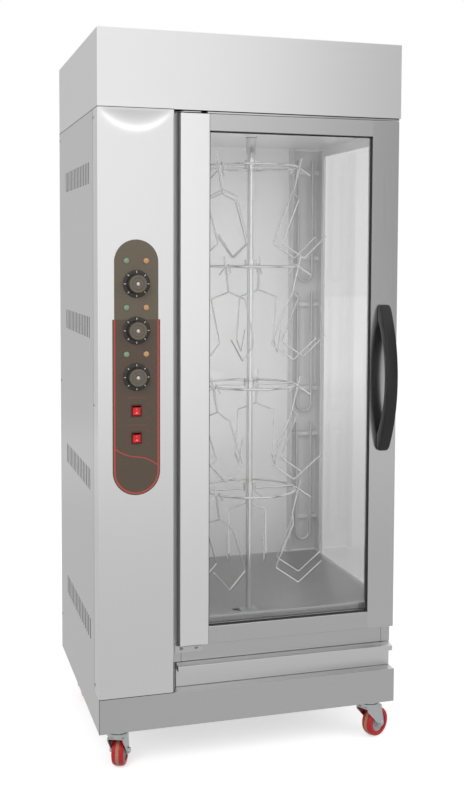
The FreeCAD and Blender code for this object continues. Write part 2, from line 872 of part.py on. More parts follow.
# Heater troughs in the two back corners, with clip bars for the elements
troughs = []
trough_sides = {
    "Left": ("partition_face", "partition_face + trough_width"),
    "Right": ("side_face - trough_width", "side_face"),
}
for side, trough_x in trough_sides.items():
    trough_z = ("trough_bottom", "trough_top")
    blank = box(f"Trough{side}", trough_x, ("liner_face - trough_depth", "liner_face"), trough_z)
    hollow = box(
        f"TroughHollow{side}",
        eased(trough_x, "sheet_gauge"),
        ("liner_face - trough_depth", "liner_face - sheet_gauge"),
        trough_z,
    )
    bars = []
    for number in range(3):
        foot = f"trough_bottom + element_gap + {number} * (element_run + element_gap)"
        run_start = f"{foot} + element_spread + element_radius"
        for bar_z in (f"{run_start} + clip_inset", f"{foot} + element_run - clip_inset"):
            bars.append(
                box(
                    f"Clip{side}{number}",
                    eased(trough_x, "sheet_gauge"),
                    ("element_y + element_radius + seat_clearance", "liner_face - sheet_gauge"),
                    (bar_z, f"{bar_z} + clip_height"),
                )
            )
    channel = cut(f"TroughChannel{side}", blank, hollow)
    troughs.append(fuse(f"TroughWithClips{side}", channel, *bars))
piece(group("heater_troughs", troughs))


def hairpin(leg_length):
    """A heating element bent into a long U, with the middle of its bend at the origin."""
    spread = float(sheet.get("element_spread"))
    bend_steps = 4
    bend_radius = spread / math.cos(math.pi / bend_steps / 2)
    bend = []
    for step in range(bend_steps):
        turn = math.pi * (step + 0.5) / bend_steps
        bend.append(Vector(-bend_radius * math.cos(turn), 0, -bend_radius * math.sin(turn)))
    ends = [Vector(-spread, 0, leg_length), Vector(spread, 0, leg_length)]
    return bent_wire(ends[:1] + bend + ends[1:], float(sheet.get("element_radius")))


# Heating elements: three hairpins one above another in each trough
doc.recompute()
elements = []
element_gap = float(sheet.get("element_gap"))
element_foot = float(sheet.get("element_spread")) + float(sheet.get("element_radius"))
for side in trough_sides:
    space = doc.getObject(f"Trough{side}").Shape.BoundBox
    run = (space.ZLength - 4 * element_gap) / 3
    for number in range(3):
        level = space.ZMin + element_gap + number * (run + element_gap) + element_foot
        element = doc.addObject("Part::Feature", f"Element{side}{number}")
        element.Shape = hairpin(run - element_foot)
        element.Placement.Base = Vector(space.Center.x, space.Center.y, level)
        elements.append(element)
piece(group("heating_elements", elements))

# Foot bearing: a square block on the funnel floor, bored for the spit's foot
bearing_boss = box(
    "BearingBoss",
    ("shaft_x - bearing_width / 2", "shaft_x + bearing_width / 2"),
    ("shaft_y - bearing_width / 2", "shaft_y + bearing_width / 2"),
    ("pan_floor", "bearing_top"),
)
bearing_bore = rod(
    "BearingBore",
    "foot_radius + running_clearance",
    ("shaft_x", "shaft_y", "bearing_top - foot_length"),
    "foot_length",
)
piece(cut("foot_bearing", bearing_boss, bearing_bore))

# Spit shaft: a round bar with a turned-down foot, and a drive boss with a spigot into the gearbox
spit = turned_body(
    "spit_shaft",
    [
        ("0", "seat_clearance - foot_length"),
        ("foot_radius", "seat_clearance - foot_length"),
        ("foot_radius", "0"),
        ("shaft_radius", "0"),
        ("shaft_radius", "boss_bottom - bearing_top - seat_clearance"),
        ("boss_radius", "boss_bottom - bearing_top - seat_clearance"),
        ("boss_radius", "ceiling - bearing_top - seat_clearance"),
        ("spigot_radius", "ceiling - bearing_top - seat_clearance"),
        ("spigot_radius", "ceiling + spigot_length - bearing_top - seat_clearance"),
        ("0", "ceiling + spigot_length - bearing_top - seat_clearance"),
    ],
)
put(spit, "shaft_x", "shaft_y", "bearing_top + seat_clearance")
piece(spit)

# Gear motor: a gearbox on the ceiling sheet with the motor lying behind it
gearbox_bottom = "ceiling + sheet_gauge"
gearbox = box(
    "Gearbox",
    ("shaft_x - gearbox_width / 2", "shaft_x + gearbox_width / 2"),
    ("shaft_y - gearbox_depth / 2", "shaft_y + gearbox_depth / 2"),
    (gearbox_bottom, f"{gearbox_bottom} + gearbox_height"),
)
motor = prism(
    "Motor",
    "motor",
    "motor_radius",
    ("shaft_x", "shaft_y + gearbox_depth / 2", f"{gearbox_bottom} + gearbox_height / 2"),
    "motor_length",
    "y",
)
output_bore = rod(
    "OutputBore",
    "spigot_radius + running_clearance",
    ("shaft_x", "shaft_y", gearbox_bottom),
    "spigot_length",
)
piece(cut("gear_motor", fuse("GearMotorBody", gearbox, motor), output_bore))

# Tier rings: four hoops of square bar on crossed spokes, each with a hub that clamps on the shaft
rings = []
spoke_length = "2 * ring_radius"
for tier in ("one", "two", "three", "four"):
    level = f"tier_{tier}"
    ring_place = ("shaft_x", "shaft_y", f"{level} - ring_bar / 2")
    hoop = cut(
        f"Ring_{tier}",
        prism(f"RingOutside_{tier}", "ring", "ring_radius + ring_bar / 2", ring_place, "ring_bar"),
        prism(f"RingInside_{tier}", "ring", "ring_radius - ring_bar / 2", ring_place, "ring_bar"),
    )
    spoke_x = prism(
        f"SpokeX_{tier}", "spoke", "spoke_radius", ("shaft_x - ring_radius", "shaft_y", level), spoke_length, "x"
    )
    spoke_y = prism(
        f"SpokeY_{tier}", "spoke", "spoke_radius", ("shaft_x", "shaft_y - ring_radius", level), spoke_length, "y"
    )
    hub_place = ("shaft_x", "shaft_y", f"{level} - hub_drop")
    hub = prism(f"Hub_{tier}", "hub", "hub_radius", hub_place, "hub_height")
    hub_bore = prism(f"HubBore_{tier}", "hub_bore", "shaft_radius + running_clearance", hub_place, "hub_height")
    rings.append(cut(f"TierRing_{tier}", fuse(f"TierBlank_{tier}", hoop, spoke_x, spoke_y, hub), hub_bore))
piece(group("tier_rings", rings))


def hook_shape(tier_pitch):
    """A meat hook of two wires and a stub welded at the neck, hung on a ring along Y at the origin."""
    wire = float(sheet.get("hook_wire_radius"))
    ring_corner = float(sheet.get("ring_bar")) * math.sqrt(0.5)
    grip = ring_corner + float(sheet.get("ring_clearance")) + wire
    neck_y = wire * math.cos(math.radians(30)) - float(sheet.get("hook_weld_overlap")) / 2
    neck_z = -float(sheet.get("hook_neck_drop"))
    neck_x = grip - float(sheet.get("hook_neck_lean"))
    shoulder_z = neck_z - float(sheet.get("hook_shoulder_drop"))
    half_width = float(sheet.get("hook_half_width"))
    heel_z = -(tier_pitch - float(sheet.get("hook_foot_room")))
    side_x = neck_x - float(sheet.get("hook_side_lean"))
    side_z = heel_z + float(sheet.get("hook_prong_drop"))
    heel_x = side_x + float(sheet.get("hook_prong_reach"))
    tip_x = heel_x + float(sheet.get("hook_tip_reach"))
    tip_z = heel_z + float(sheet.get("hook_tip_rise"))
    hang = Rotation(Vector(0, 1, 0), -float(sheet.get("hook_hang_degrees")))

    def lower_part(side):
        return [
            Vector(neck_x, side * neck_y, neck_z),
            Vector(neck_x, side * half_width, shoulder_z),
            Vector(side_x, side * half_width, side_z),
            Vector(heel_x, side * half_width, heel_z),
            Vector(tip_x, side * half_width, tip_z),
        ]

    arch_steps = 3
    arch_radius = grip / math.cos(math.pi / arch_steps / 2)
    arch = []
    for step in range(arch_steps):
        turn = math.pi * (step + 0.5) / arch_steps
        arch.append(Vector(-arch_radius * math.cos(turn), neck_y, arch_radius * math.sin(turn)))
    crook_reach = float(sheet.get("hook_crook_reach"))
    crook_end = Vector(-grip - crook_reach, neck_y, -float(sheet.get("hook_crook_drop")))
    crook = bent_wire([crook_end] + arch + [Vector(grip, neck_y, 0)] + lower_part(1), wire)
    spike_x = grip + float(sheet.get("hook_spike_lean"))
    spike = bent_wire([Vector(spike_x, -neck_y, float(sheet.get("hook_spike")))] + lower_part(-1), wire)
    flare_end = Vector(grip + float(sheet.get("hook_flare")), 0, -float(sheet.get("hook_flare_drop")))
    flare = bent_wire([Vector(grip + wire, 0, 0), flare_end], wire)
    hook = crook.fuse([spike, flare]).Solids[0]
    hook.Placement = Placement(Vector(), hang)
    return hook


# Hooks: three on each ring, free to swing about it
HOOK_ANGLES = {
    "one": (-5, 115, 214),
    "two": (-34, 62, 224),
    "three": (-32, 64, 206),
    "four": (-20, 76, 211),
}
doc.recompute()
ring_places = {tier: doc.getObject(f"Ring_{tier}").Shape.BoundBox.Center for tier in HOOK_ANGLES}
even_pitch = (ring_places["one"].z - ring_places["four"].z) / 3
hook_master = hook_shape(even_pitch)
ring_radius = float(sheet.get("ring_radius"))
for tier, angles in HOOK_ANGLES.items():
    for letter, angle in zip("abc", angles):
        hook = doc.addObject("Part::Feature", f"hook_{tier}_{letter}")
        hook.Shape = hook_master.copy()
        around = Placement(ring_places[tier], Rotation(Vector(0, 0, 1), angle))
        outward = Placement(Vector(ring_radius, 0, 0), Rotation())
        hook.Placement = around * outward * hook_master.Placement
        piece(hook)

# Thermostats behind the column, bored for the knobs' spindles
thermostats = []
for number in range(3):
    knob_z = f"fascia_bottom + knob_rise + {number} * knob_pitch"
    body_block = box(
        f"ThermostatBlock{number}",
        ("column_middle - thermostat_width / 2", "column_middle + thermostat_width / 2"),
        ("front + sheet_gauge", "front + sheet_gauge + thermostat_depth"),
        (f"{knob_z} - thermostat_width / 2", f"{knob_z} + thermostat_width / 2"),
    )
    spindle_bore = rod(f"SpindleBore{number}", "spindle_radius + running_clearance",
                       ("column_middle", "fascia_face", knob_z), "spindle_length", "y")
    thermostats.append(cut(f"Thermostat{number}", body_block, spindle_bore))
piece(group("thermostats", thermostats))

# Control knobs: a faceted cap on a wide skirt, with its spindle
KNOB_NAMES = ("knob_lower", "knob_middle", "knob_upper")
for number, knob_name in enumerate(KNOB_NAMES):
    spindle = rod(
        f"Spindle{number}",
        "spindle_radius",
        ("0", "0", "seat_clearance - spindle_length"),
        "spindle_length - seat_clearance",
    )
    skirt = prism(f"Skirt{number}", "knob_skirt", "knob_skirt_radius", ("0", "0", "0"), "knob_skirt_gauge")
    cap = prism(f"Cap{number}", "knob_cap", "knob_cap_radius", ("0", "0", "knob_skirt_gauge"), "knob_cap_height")
    knob = fuse(knob_name, spindle, skirt, cap)
    knob_z = f"fascia_bottom + knob_rise + {number} * knob_pitch"
    put(knob, "column_middle", "fascia_face - seat_clearance", knob_z, Rotation(Vector(1, 0, 0), 90))
    piece(knob)

# Pilot lamps: a green and an amber one above each knob, on the face of the fascia
for side, colour in ((-1, "green"), (1, "amber")):
    lamps = []
    for number in range(3):
        lamp_x = f"column_middle + {side} * lamp_spread"
        lamp_z = f"fascia_bottom + knob_rise + {number} * knob_pitch + lamp_rise"
        lamp_place = (lamp_x, "fascia_face - lamp_proud", lamp_z)
        lamps.append(prism(f"Lamp_{colour}{number}", "lamp", "lamp_radius", lamp_place, "lamp_proud", "y"))
    piece(group(f"pilot_lamps_{colour}", lamps))

# Rocker switches: a black bezel with its body behind the fascia, and a tilting red rocker
bezels = []
for number in range(2):
    rocker_z = f"fascia_bottom + rocker_low_rise + {number} * rocker_pitch"
    rim_x = ("column_middle - bezel_width / 2", "column_middle + bezel_width / 2")
    rim_z = (f"{rocker_z} - bezel_height / 2", f"{rocker_z} + bezel_height / 2")
    rim = box(f"BezelRim{number}", rim_x, ("fascia_face - bezel_proud", "fascia_face"), rim_z)
    shell_x = eased(rim_x, "bezel_wall - sheet_gauge + running_clearance")
    shell_z = eased(rim_z, "bezel_wall - sheet_gauge + running_clearance")
    shell_block = box(f"BezelBody{number}", shell_x, ("fascia_face", "fascia_face + bezel_body"), shell_z)
    well = box(
        f"BezelWell{number}",
        eased(rim_x, "bezel_wall"),
        ("fascia_face - bezel_proud", "fascia_face + bezel_body - bezel_wall"),
        eased(rim_z, "bezel_wall"),
    )
    bezels.append(cut(f"Bezel{number}", fuse(f"BezelBlank{number}", rim, shell_block), well))
piece(group("rocker_bezels", bezels))
for number, rocker_name in enumerate(("rocker_lower", "rocker_upper")):
    half_height = "(bezel_height / 2 - bezel_wall - rocker_end_gap)"
    rocker = pad_body(
        rocker_name,
        "YZ_Plane",
        [
            ("-rocker_depth", half_height),
            ("-rocker_depth + rocker_dish", "0"),
            ("-rocker_depth", f"-{half_height}"),
            ("rocker_dish", f"-{half_height} + rocker_dish"),
            ("rocker_depth", "0"),
            ("rocker_dish", f"{half_height} - rocker_dish"),
        ],
        "bezel_width - 2 * bezel_wall - 2 * rocker_side_gap",
        midplane=True,
    )
    rocker_z = f"fascia_bottom + rocker_low_rise + {number} * rocker_pitch"
    tilt = Rotation(Vector(1, 0, 0), float(sheet.get("rocker_tilt_degrees")))
    put(rocker, "column_middle", "fascia_face + rocker_pivot_depth", rocker_z, tilt)
    piece(rocker)

# Drip tray: a shallow bin behind a front plate with a rolled pull lip
tray_x = ("partition_face + tray_side_gap", "right - tray_side_gap")
tray_bottom = "plinth_top + seat_clearance"
bin_x = (tray_x[0], "side_face - tray_side_gap")
bin_block = box("TrayBin", bin_x, ("frame_rear", "frame_rear + tray_depth"), (tray_bottom, f"{tray_bottom} + tray_wall"))
bin_hollow = box(
    "TrayHollow",
    eased(bin_x, "sheet_gauge"),
    ("frame_rear + sheet_gauge", "frame_rear + tray_depth - sheet_gauge"),
    (f"{tray_bottom} + sheet_gauge", f"{tray_bottom} + tray_wall"),
)
lip_front = "frame_face - tray_lip_reach"
tray_front = pad_body(
    "TrayFront",
    "YZ_Plane",
    [
        ("frame_rear", tray_bottom),
        ("frame_rear", "tray_top"),
        ("frame_face", "tray_top"),
        (lip_front, "tray_top - tray_lip_slope"),
        (lip_front, "tray_top - tray_lip_drop"),
        (f"{lip_front} + sheet_gauge", "tray_top - tray_lip_drop"),
        (f"{lip_front} + sheet_gauge", "tray_top - tray_lip_slope - sheet_gauge"),
        ("frame_face", "tray_top - sheet_gauge"),
        ("frame_face", tray_bottom),
    ],
    f"({tray_x[1]}) - ({tray_x[0]})",
)
put(tray_front, tray_x[0])
piece(fuse("drip_tray", cut("TrayOpenBin", bin_block, bin_hollow), tray_front))

# Casters: a fixed plate with a race, a swivelling fork with its axle, and a wheel
CASTERS = {
    "front_left": ("left + caster_side_inset", "front + caster_front_inset"),
    "front_right": ("right - caster_side_inset", "front + caster_front_inset"),
    "rear_left": ("left + caster_side_inset", "back - caster_rear_inset"),
    "rear_right": ("right - caster_side_inset", "back - caster_rear_inset"),
}
crown_bottom = "caster_height - plate_gauge - race_height - seat_clearance - crown_height"
leg_inside = "(wheel_width / 2 + fork_gap)"
leg_outside = f"({leg_inside} + fork_gauge)"
plates = []
for corner, (caster_x, caster_y) in CASTERS.items():
    base = box(
        f"Plate_{corner}",
        (f"{caster_x} - plate_width / 2", f"{caster_x} + plate_width / 2"),
        (f"{caster_y} - plate_depth / 2", f"{caster_y} + plate_depth / 2"),
        ("caster_height - plate_gauge", "caster_height"),
    )
    race_place = (caster_x, caster_y, "caster_height - plate_gauge - race_height")
    race = prism(f"Race_{corner}", "race", "race_radius", race_place, "race_height")
    plates.append(fuse(f"PlateWithRace_{corner}", base, race))
piece(group("caster_plates", plates))

for corner, (caster_x, caster_y) in CASTERS.items():
    heading = Rotation(Vector(0, 0, 1), float(sheet.get(f"{corner}_heading_degrees")))
    crown = prism(f"Crown_{corner}", "crown", "crown_radius", ("0", "0", crown_bottom), "crown_height")
    bridge = box(
        f"Bridge_{corner}",
        ("-fork_top_half", "fork_top_half"),
        (f"-{leg_outside}", leg_outside),
        (f"{crown_bottom} - fork_gauge", crown_bottom),
    )
    sides = []
    for side in (-1, 1):
        leg = pad_body(
            f"Leg_{corner}_{'right' if side > 0 else 'left'}",
            "XZ_Plane",
            [
                ("-fork_top_half", crown_bottom),
                ("-fork_top_half", f"{crown_bottom} - fork_shoulder"),
                ("caster_trail - fork_eye_radius", "wheel_radius"),
                ("caster_trail - fork_eye_radius / 2", "wheel_radius - fork_eye_radius"),
                ("caster_trail + fork_eye_radius / 2", "wheel_radius - fork_eye_radius"),
                ("caster_trail + fork_eye_radius", "wheel_radius"),
                ("fork_top_half", crown_bottom),
            ],
            "fork_gauge",
        )
        put(leg, y=leg_outside if side > 0 else f"-{leg_inside}")
        sides.append(leg)
    axle = prism(f"Axle_{corner}", "axle", f"axle_radius * cos({180 / FLATS['axle']:g})",
                 ("caster_trail", f"-{leg_outside}", "wheel_radius"), f"2 * {leg_outside}", "y")
    fork = fuse(f"caster_fork_{corner}", crown, bridge, axle, *sides)
    put(fork, caster_x, caster_y, turn=heading)
    piece(fork)

for corner, (caster_x, caster_y) in CASTERS.items():
    tread = prism(f"Tread_{corner}", "wheel", "wheel_radius", ("0", "0", "-wheel_width / 2"), "wheel_width")
    tread.Placement.Rotation = Rotation(Vector(0, 0, 1), 180 / FLATS["wheel"])
    axle_bore = rod(
        f"AxleBore_{corner}", "axle_radius + running_clearance", ("0", "0", "-wheel_width / 2"), "wheel_width"
    )
    wheel = cut(f"caster_wheel_{corner}", tread, axle_bore)
    degrees = float(sheet.get(f"{corner}_heading_degrees"))
    lying = Rotation(Vector(0, 0, 1), degrees).multiply(Rotation(Vector(1, 0, 0), -90))
    put(
        wheel,
        f"{caster_x} + caster_trail * cos({corner}_heading_degrees)",
        f"{caster_y} + caster_trail * sin({corner}_heading_degrees)",
        "wheel_radius",
        lying,
    )
    piece(wheel)

# Every object has to be sound before a file is written
doc.recompute()
failed = [item.Name for item in doc.Objects if {"Invalid", "Error"} & set(item.State)]
if failed:
    raise RuntimeError("failed objects: " + ", ".join(failed))
for item in PIECES:
    if item.Shape.isNull() or not item.Shape.isValid() or not item.Shape.Solids:
        raise RuntimeError("unsound shape: " + item.Label)

os.makedirs("parts", exist_ok=True)
for item in PIECES:
    item.Shape.exportStep(f"parts/{item.Label}.step")
print(len(PIECES), "sub-parts written")
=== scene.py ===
import json
import math

import bmesh
import bpy
from mathutils import Matrix, Vector
from mathutils.bvhtree import BVHTree


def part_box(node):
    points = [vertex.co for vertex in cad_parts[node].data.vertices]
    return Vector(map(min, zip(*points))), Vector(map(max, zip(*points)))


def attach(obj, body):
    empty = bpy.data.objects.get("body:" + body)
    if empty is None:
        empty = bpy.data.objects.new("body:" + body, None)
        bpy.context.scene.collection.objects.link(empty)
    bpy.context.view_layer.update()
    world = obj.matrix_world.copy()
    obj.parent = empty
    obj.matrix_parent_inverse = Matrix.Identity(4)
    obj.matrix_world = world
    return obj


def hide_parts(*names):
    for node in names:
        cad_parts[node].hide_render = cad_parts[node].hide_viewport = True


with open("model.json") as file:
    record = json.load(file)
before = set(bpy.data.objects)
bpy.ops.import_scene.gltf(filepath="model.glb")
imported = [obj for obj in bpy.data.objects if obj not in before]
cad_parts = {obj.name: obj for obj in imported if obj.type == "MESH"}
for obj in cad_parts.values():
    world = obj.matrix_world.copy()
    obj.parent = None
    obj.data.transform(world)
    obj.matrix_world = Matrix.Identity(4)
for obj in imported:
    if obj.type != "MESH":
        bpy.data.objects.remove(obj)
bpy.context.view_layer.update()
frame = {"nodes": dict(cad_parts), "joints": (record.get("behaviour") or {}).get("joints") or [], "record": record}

# Caster plates: four pressed steel plates, each with a ball race under it, bright zinc plated.
# They are bolted up against the flange of the plinth.
MM = 0.001
nodes = frame["nodes"]
bodies = frame["record"]["behaviour"]["bodies"]
body_of = {node: body for body, members in bodies.items() for node in members}


def linear(text):
    """An sRGB hex colour as linear red, green, blue and alpha."""
    channels = [int(text[start:start + 2], 16) / 255 for start in (1, 3, 5)]
    return [c / 12.92 if c <= 0.04045 else ((c + 0.055) / 1.055) ** 2.4 for c in channels] + [1.0]


def add_node(tree, kind, settings=None):
    """Adds a node with its attributes and inputs by name; an input given a node or a socket is linked."""
    node = tree.nodes.new(kind)
    for name, value in (settings or {}).items():
        if isinstance(value, bpy.types.Node):
            value = value.outputs[0]
        if isinstance(value, bpy.types.NodeSocket):
            tree.links.new(value, node.inputs[name])
        elif isinstance(name, str) and hasattr(node, name):
            setattr(node, name, value)
        else:
            node.inputs[name].default_value = value
    return node


def new_material(name):
    """An empty material and its node tree."""
    material = bpy.data.materials.new(name)
    material.use_nodes = True
    material.node_tree.nodes.clear()
    return material, material.node_tree


def mottled(name, colour, spread, grain_mm, settings, relief_mm, rough):
    """A material whose tone, roughness and relief vary with grains of a size in millimetres."""
    material, tree = new_material(name)
    place = add_node(tree, "ShaderNodeTexCoord").outputs["Object"]
    scale = 1 / (grain_mm * MM)
    grain = add_node(tree, "ShaderNodeTexNoise", {"Scale": scale, "Detail": 4.0, "Vector": place})
    tones = {"Color1": linear(colour), "Color2": linear(spread)}
    tone = add_node(tree, "ShaderNodeMixRGB", {**tones, "Fac": grain})
    span = {"From Min": 0.3, "From Max": 0.7, "To Min": rough[0], "To Max": rough[1]}
    gloss = add_node(tree, "ShaderNodeMapRange", {**span, "Value": grain})
    bump = add_node(tree, "ShaderNodeBump", {"Strength": 1.0, "Distance": relief_mm * MM, "Height": grain})
    looks = {**settings, "Base Color": tone, "Roughness": gloss, "Normal": bump}
    shader = add_node(tree, "ShaderNodeBsdfPrincipled", looks)
    add_node(tree, "ShaderNodeOutputMaterial", {"Surface": shader})
    return material


def placed(name, data):
    """A new object of the scene, at the origin."""
    thing = bpy.data.objects.new(name, data)
    bpy.context.scene.collection.objects.link(thing)
    return thing


def welded(mesh):
    """A bmesh of a mesh, with its doubles merged."""
    work = bmesh.new()
    work.from_mesh(mesh)
    bmesh.ops.remove_doubles(work, verts=work.verts, dist=MM / 1000)
    return work


def finished(work, name, smooth_degrees=35):
    """Turns a bmesh into a mesh with outward faces, smooth except at edges sharper than an angle."""
    bmesh.ops.recalc_face_normals(work, faces=work.faces)
    for face in work.faces:
        face.smooth = True
    for edge in work.edges:
        edge.smooth = edge.calc_face_angle(0) < math.radians(smooth_degrees)
    mesh = bpy.data.meshes.new(name)
    work.to_mesh(mesh)
    work.free()
    return mesh


def fit(name, mesh, material, body, slot, *replaced):
    """Makes a piece of a mesh, rides it on a body and hides the nodes it stands for."""
    mesh.materials.clear()
    mesh.materials.append(material)
    piece = placed(name, mesh)
    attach(piece, body)
    if replaced:
        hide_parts(*replaced)
    return piece


def roomy(tree, loop, reach):
    """Whether the face beside an edge still goes on at a distance from it."""
    along = loop.link_loop_next.vert.co - loop.vert.co
    inward = loop.face.normal.cross(along).normalized() * reach
    places = [loop.vert.co + along * share + inward for share in (0.1, 0.5, 0.9)]
    return all(tree.find_nearest(place)[3] < MM / 100 for place in places)


def folded(node, material, fold_mm, slot="stainless_steel"):
    """A copy of a node whose outer folds are rounded to a radius, standing for that node."""
    work = welded(nodes[node].data)
    bmesh.ops.dissolve_limit(work, angle_limit=math.radians(1), verts=work.verts, edges=work.edges)
    bmesh.ops.recalc_face_normals(work, faces=work.faces)
    tree = BVHTree.FromBMesh(work)
    least_fold = math.radians(30)
    # A fold needs a little more than its own radius of flat sheet on both sides, or it overruns.
    reach = 2.2 * fold_mm * MM
    folds = []
    for edge in work.edges:
        if len(edge.link_faces) != 2 or not edge.is_convex or edge.calc_face_angle() < least_fold:
            continue
        if edge.calc_length() > reach and all(roomy(tree, loop, reach) for loop in edge.link_loops):
            folds.append(edge)
    bmesh.ops.bevel(work, geom=folds, offset=fold_mm * MM, segments=3, profile=0.5, affect="EDGES")
    piece = fit(f"{node}_folded", finished(work, node), material, body_of[node], slot, node)
    piece.modifiers.new("Flats", "WEIGHTED_NORMAL").keep_sharp = True
    return piece


# Zinc plate is a thin bright metal coat: it shows a faint spangle and scatters a little.
zinc_plate = mottled(
    "zinc_plated_steel", "#DCDDDE", "#C6C8CA", 3.0, {"Metallic": 1.0}, relief_mm=0.01, rough=(0.28, 0.42)
)
folded("caster_plates", zinc_plate, 1.0, "zinc_steel")

# Caster forks: two pressed legs under a round crown, zinc plated, with the wheel's axle bolted
# through the leg eyes and held by a hexagon nut and a washer at each end.
joints = {joint["name"]: joint for joint in frame["joints"]}


def skin(work, loops, capped=False):
    """Joins loops of points, or lone points, one to the next by faces, and caps both ends if asked."""
    for low, high in zip(loops, loops[1:]):
        sides = max(len(low), len(high))
        for step in range(sides):
            after = (step + 1) % sides
            places = ((low, step), (low, after), (high, after), (high, step))
            corners = [loop[index % len(loop)] for loop, index in places]
            work.faces.new(list(dict.fromkeys(corners)))
    for loop in (loops[0], loops[-1]) if capped else ():
        work.faces.new(loop)


def lathe(profile_mm, place, sides=48, closed=False):
    """A bmesh turned about Z from (radius, height) pairs, then put in place."""
    work = bmesh.new()
    rings = []
    for radius, height in profile_mm:
        count = sides if radius else 1
        turns = [2 * math.pi * step / count for step in range(count)]
        points = [Vector((radius * math.cos(turn), radius * math.sin(turn), height)) for turn in turns]
        rings.append([work.verts.new(point * MM) for point in points])
    skin(work, rings + rings[:1] if closed else rings)
    bmesh.ops.transform(work, matrix=place, verts=work.verts)
    return work


def joint_place(name):
    """The frame of a joint: its origin, with Z along its axis."""
    axis = Vector(joints[name]["axis"])
    return Matrix.Translation(joints[name]["pos_m"]) @ axis.to_track_quat("Z", "Y").to_matrix().to_4x4()


CORNERS = ("front_left", "front_right", "rear_left", "rear_right")
fork_half_mm = 20.5
washer_mm = 1.2
nut_profile = [(0, 4.4), (5.2, 4.4), (7.2, 3.4), (7.2, 0), (0, 0)]
washer_profile = [(0, 0), (8.6, 0), (8.6, -washer_mm), (0, -washer_mm)]
seat_shift = Matrix.Translation((0, 0, (fork_half_mm + washer_mm) * MM))
for corner in CORNERS:
    fork = f"caster_fork_{corner}"
    folded(fork, zinc_plate, 1.2, "zinc_steel")
    for side, turn in (("inner", 0), ("outer", math.pi)):
        seat = joint_place(f"caster_{corner}_roll") @ Matrix.Rotation(turn, 4, "X") @ seat_shift
        nut = finished(lathe(nut_profile, seat, sides=6), "axle_nut", 20)
        fit(f"axle_nut_{side}_{corner}", nut, zinc_plate, fork, "zinc_steel")
        washer = finished(lathe(washer_profile, seat, sides=24), "axle_washer")
        fit(f"axle_washer_{side}_{corner}", washer, zinc_plate, fork, "zinc_steel")


# Caster wheels: a red polyurethane tread moulded on a grey nylon hub with a raised boss.
# The tread is crowned, and a band of dust lies along the middle where it meets the floor.
def wheel_tread(name):
    """Moulded polyurethane: glossy red, with matt dust along the middle of the tread."""
    dust_mm = 4.0
    material, tree = new_material(name)
    across = add_node(tree, "ShaderNodeAttribute", {"attribute_name": "across"}).outputs["Fac"]
    place = add_node(tree, "ShaderNodeTexCoord").outputs["Object"]
    dust = add_node(tree, "ShaderNodeTexNoise", {"Scale": 1 / (dust_mm * MM), "Detail": 4.0, "Vector": place})
    spread = add_node(tree, "ShaderNodeMath", {"operation": "MULTIPLY_ADD", 0: dust, 1: 0.35, 2: across})
    span = {"From Min": 0.36, "From Max": 0.52, "To Min": 0.85, "To Max": 0.0}
    band = add_node(tree, "ShaderNodeMapRange", {**span, "Value": spread})
    tones = {"Color1": linear("#B3141C"), "Color2": linear("#A9876B")}
    tone = add_node(tree, "ShaderNodeMixRGB", {**tones, "Fac": band})
    gloss = add_node(tree, "ShaderNodeMapRange", {"To Min": 0.28, "To Max": 0.7, "Value": band})
    shader = add_node(tree, "ShaderNodeBsdfPrincipled", {"IOR": 1.49, "Base Color": tone, "Roughness": gloss})
    add_node(tree, "ShaderNodeOutputMaterial", {"Surface": shader})
    return material


tread_red = wheel_tread("polyurethane_red")
# Moulded nylon is pale and matt, with a faint grain.
hub_grey = mottled(
    "nylon_hub_grey", "#B2B5B7", "#9FA3A5", 2.0, {"IOR": 1.53}, relief_mm=0.02, rough=(0.35, 0.5)
)
wheel_radius_mm = 38.0
wheel_half_mm = 15.0
rim_radius_mm = 24.0
shoulder_mm = rim_radius_mm + 6
crown_steps = 12
crown_power = 0.55
bore_radius_mm = 4.05
tread_profile = [(rim_radius_mm, 1 - wheel_half_mm), (rim_radius_mm + 3, -wheel_half_mm)]
for step in range(crown_steps + 1):
    turn = math.pi * (step / crown_steps - 0.5)
    crown_mm = (wheel_radius_mm - shoulder_mm) * abs(math.cos(turn)) ** crown_power
    tread_profile.append((shoulder_mm + crown_mm, wheel_half_mm * math.sin(turn)))
tread_profile += [(rim_radius_mm + 3, wheel_half_mm), (rim_radius_mm, wheel_half_mm - 1)]
half_hub = [(rim_radius_mm, 11.5), (21.5, 11), (20.5, 8.5), (13.5, 8.5), (12.5, 12.5), (8, 14.2),
            (bore_radius_mm, 14.5)]
hub_profile = half_hub + [(radius, -height) for radius, height in reversed(half_hub)]
for corner in CORNERS:
    place = joint_place(f"caster_{corner}_roll")
    axis = place.to_3x3().col[2]
    wheel = f"caster_wheel_{corner}"
    tread = lathe(tread_profile, place, sides=64, closed=True)
    across = tread.verts.layers.float.new("across")
    for vert in tread.verts:
        vert[across] = abs((vert.co - place.translation).dot(axis)) / (wheel_half_mm * MM)
    fit(f"tread_{corner}", finished(tread, "tread"), tread_red, wheel, "red_tyre", wheel)
    hub = finished(lathe(hub_profile, place, closed=True), "wheel_hub")
    fit(f"wheel_hub_{corner}", hub, hub_grey, wheel, "zinc_steel")


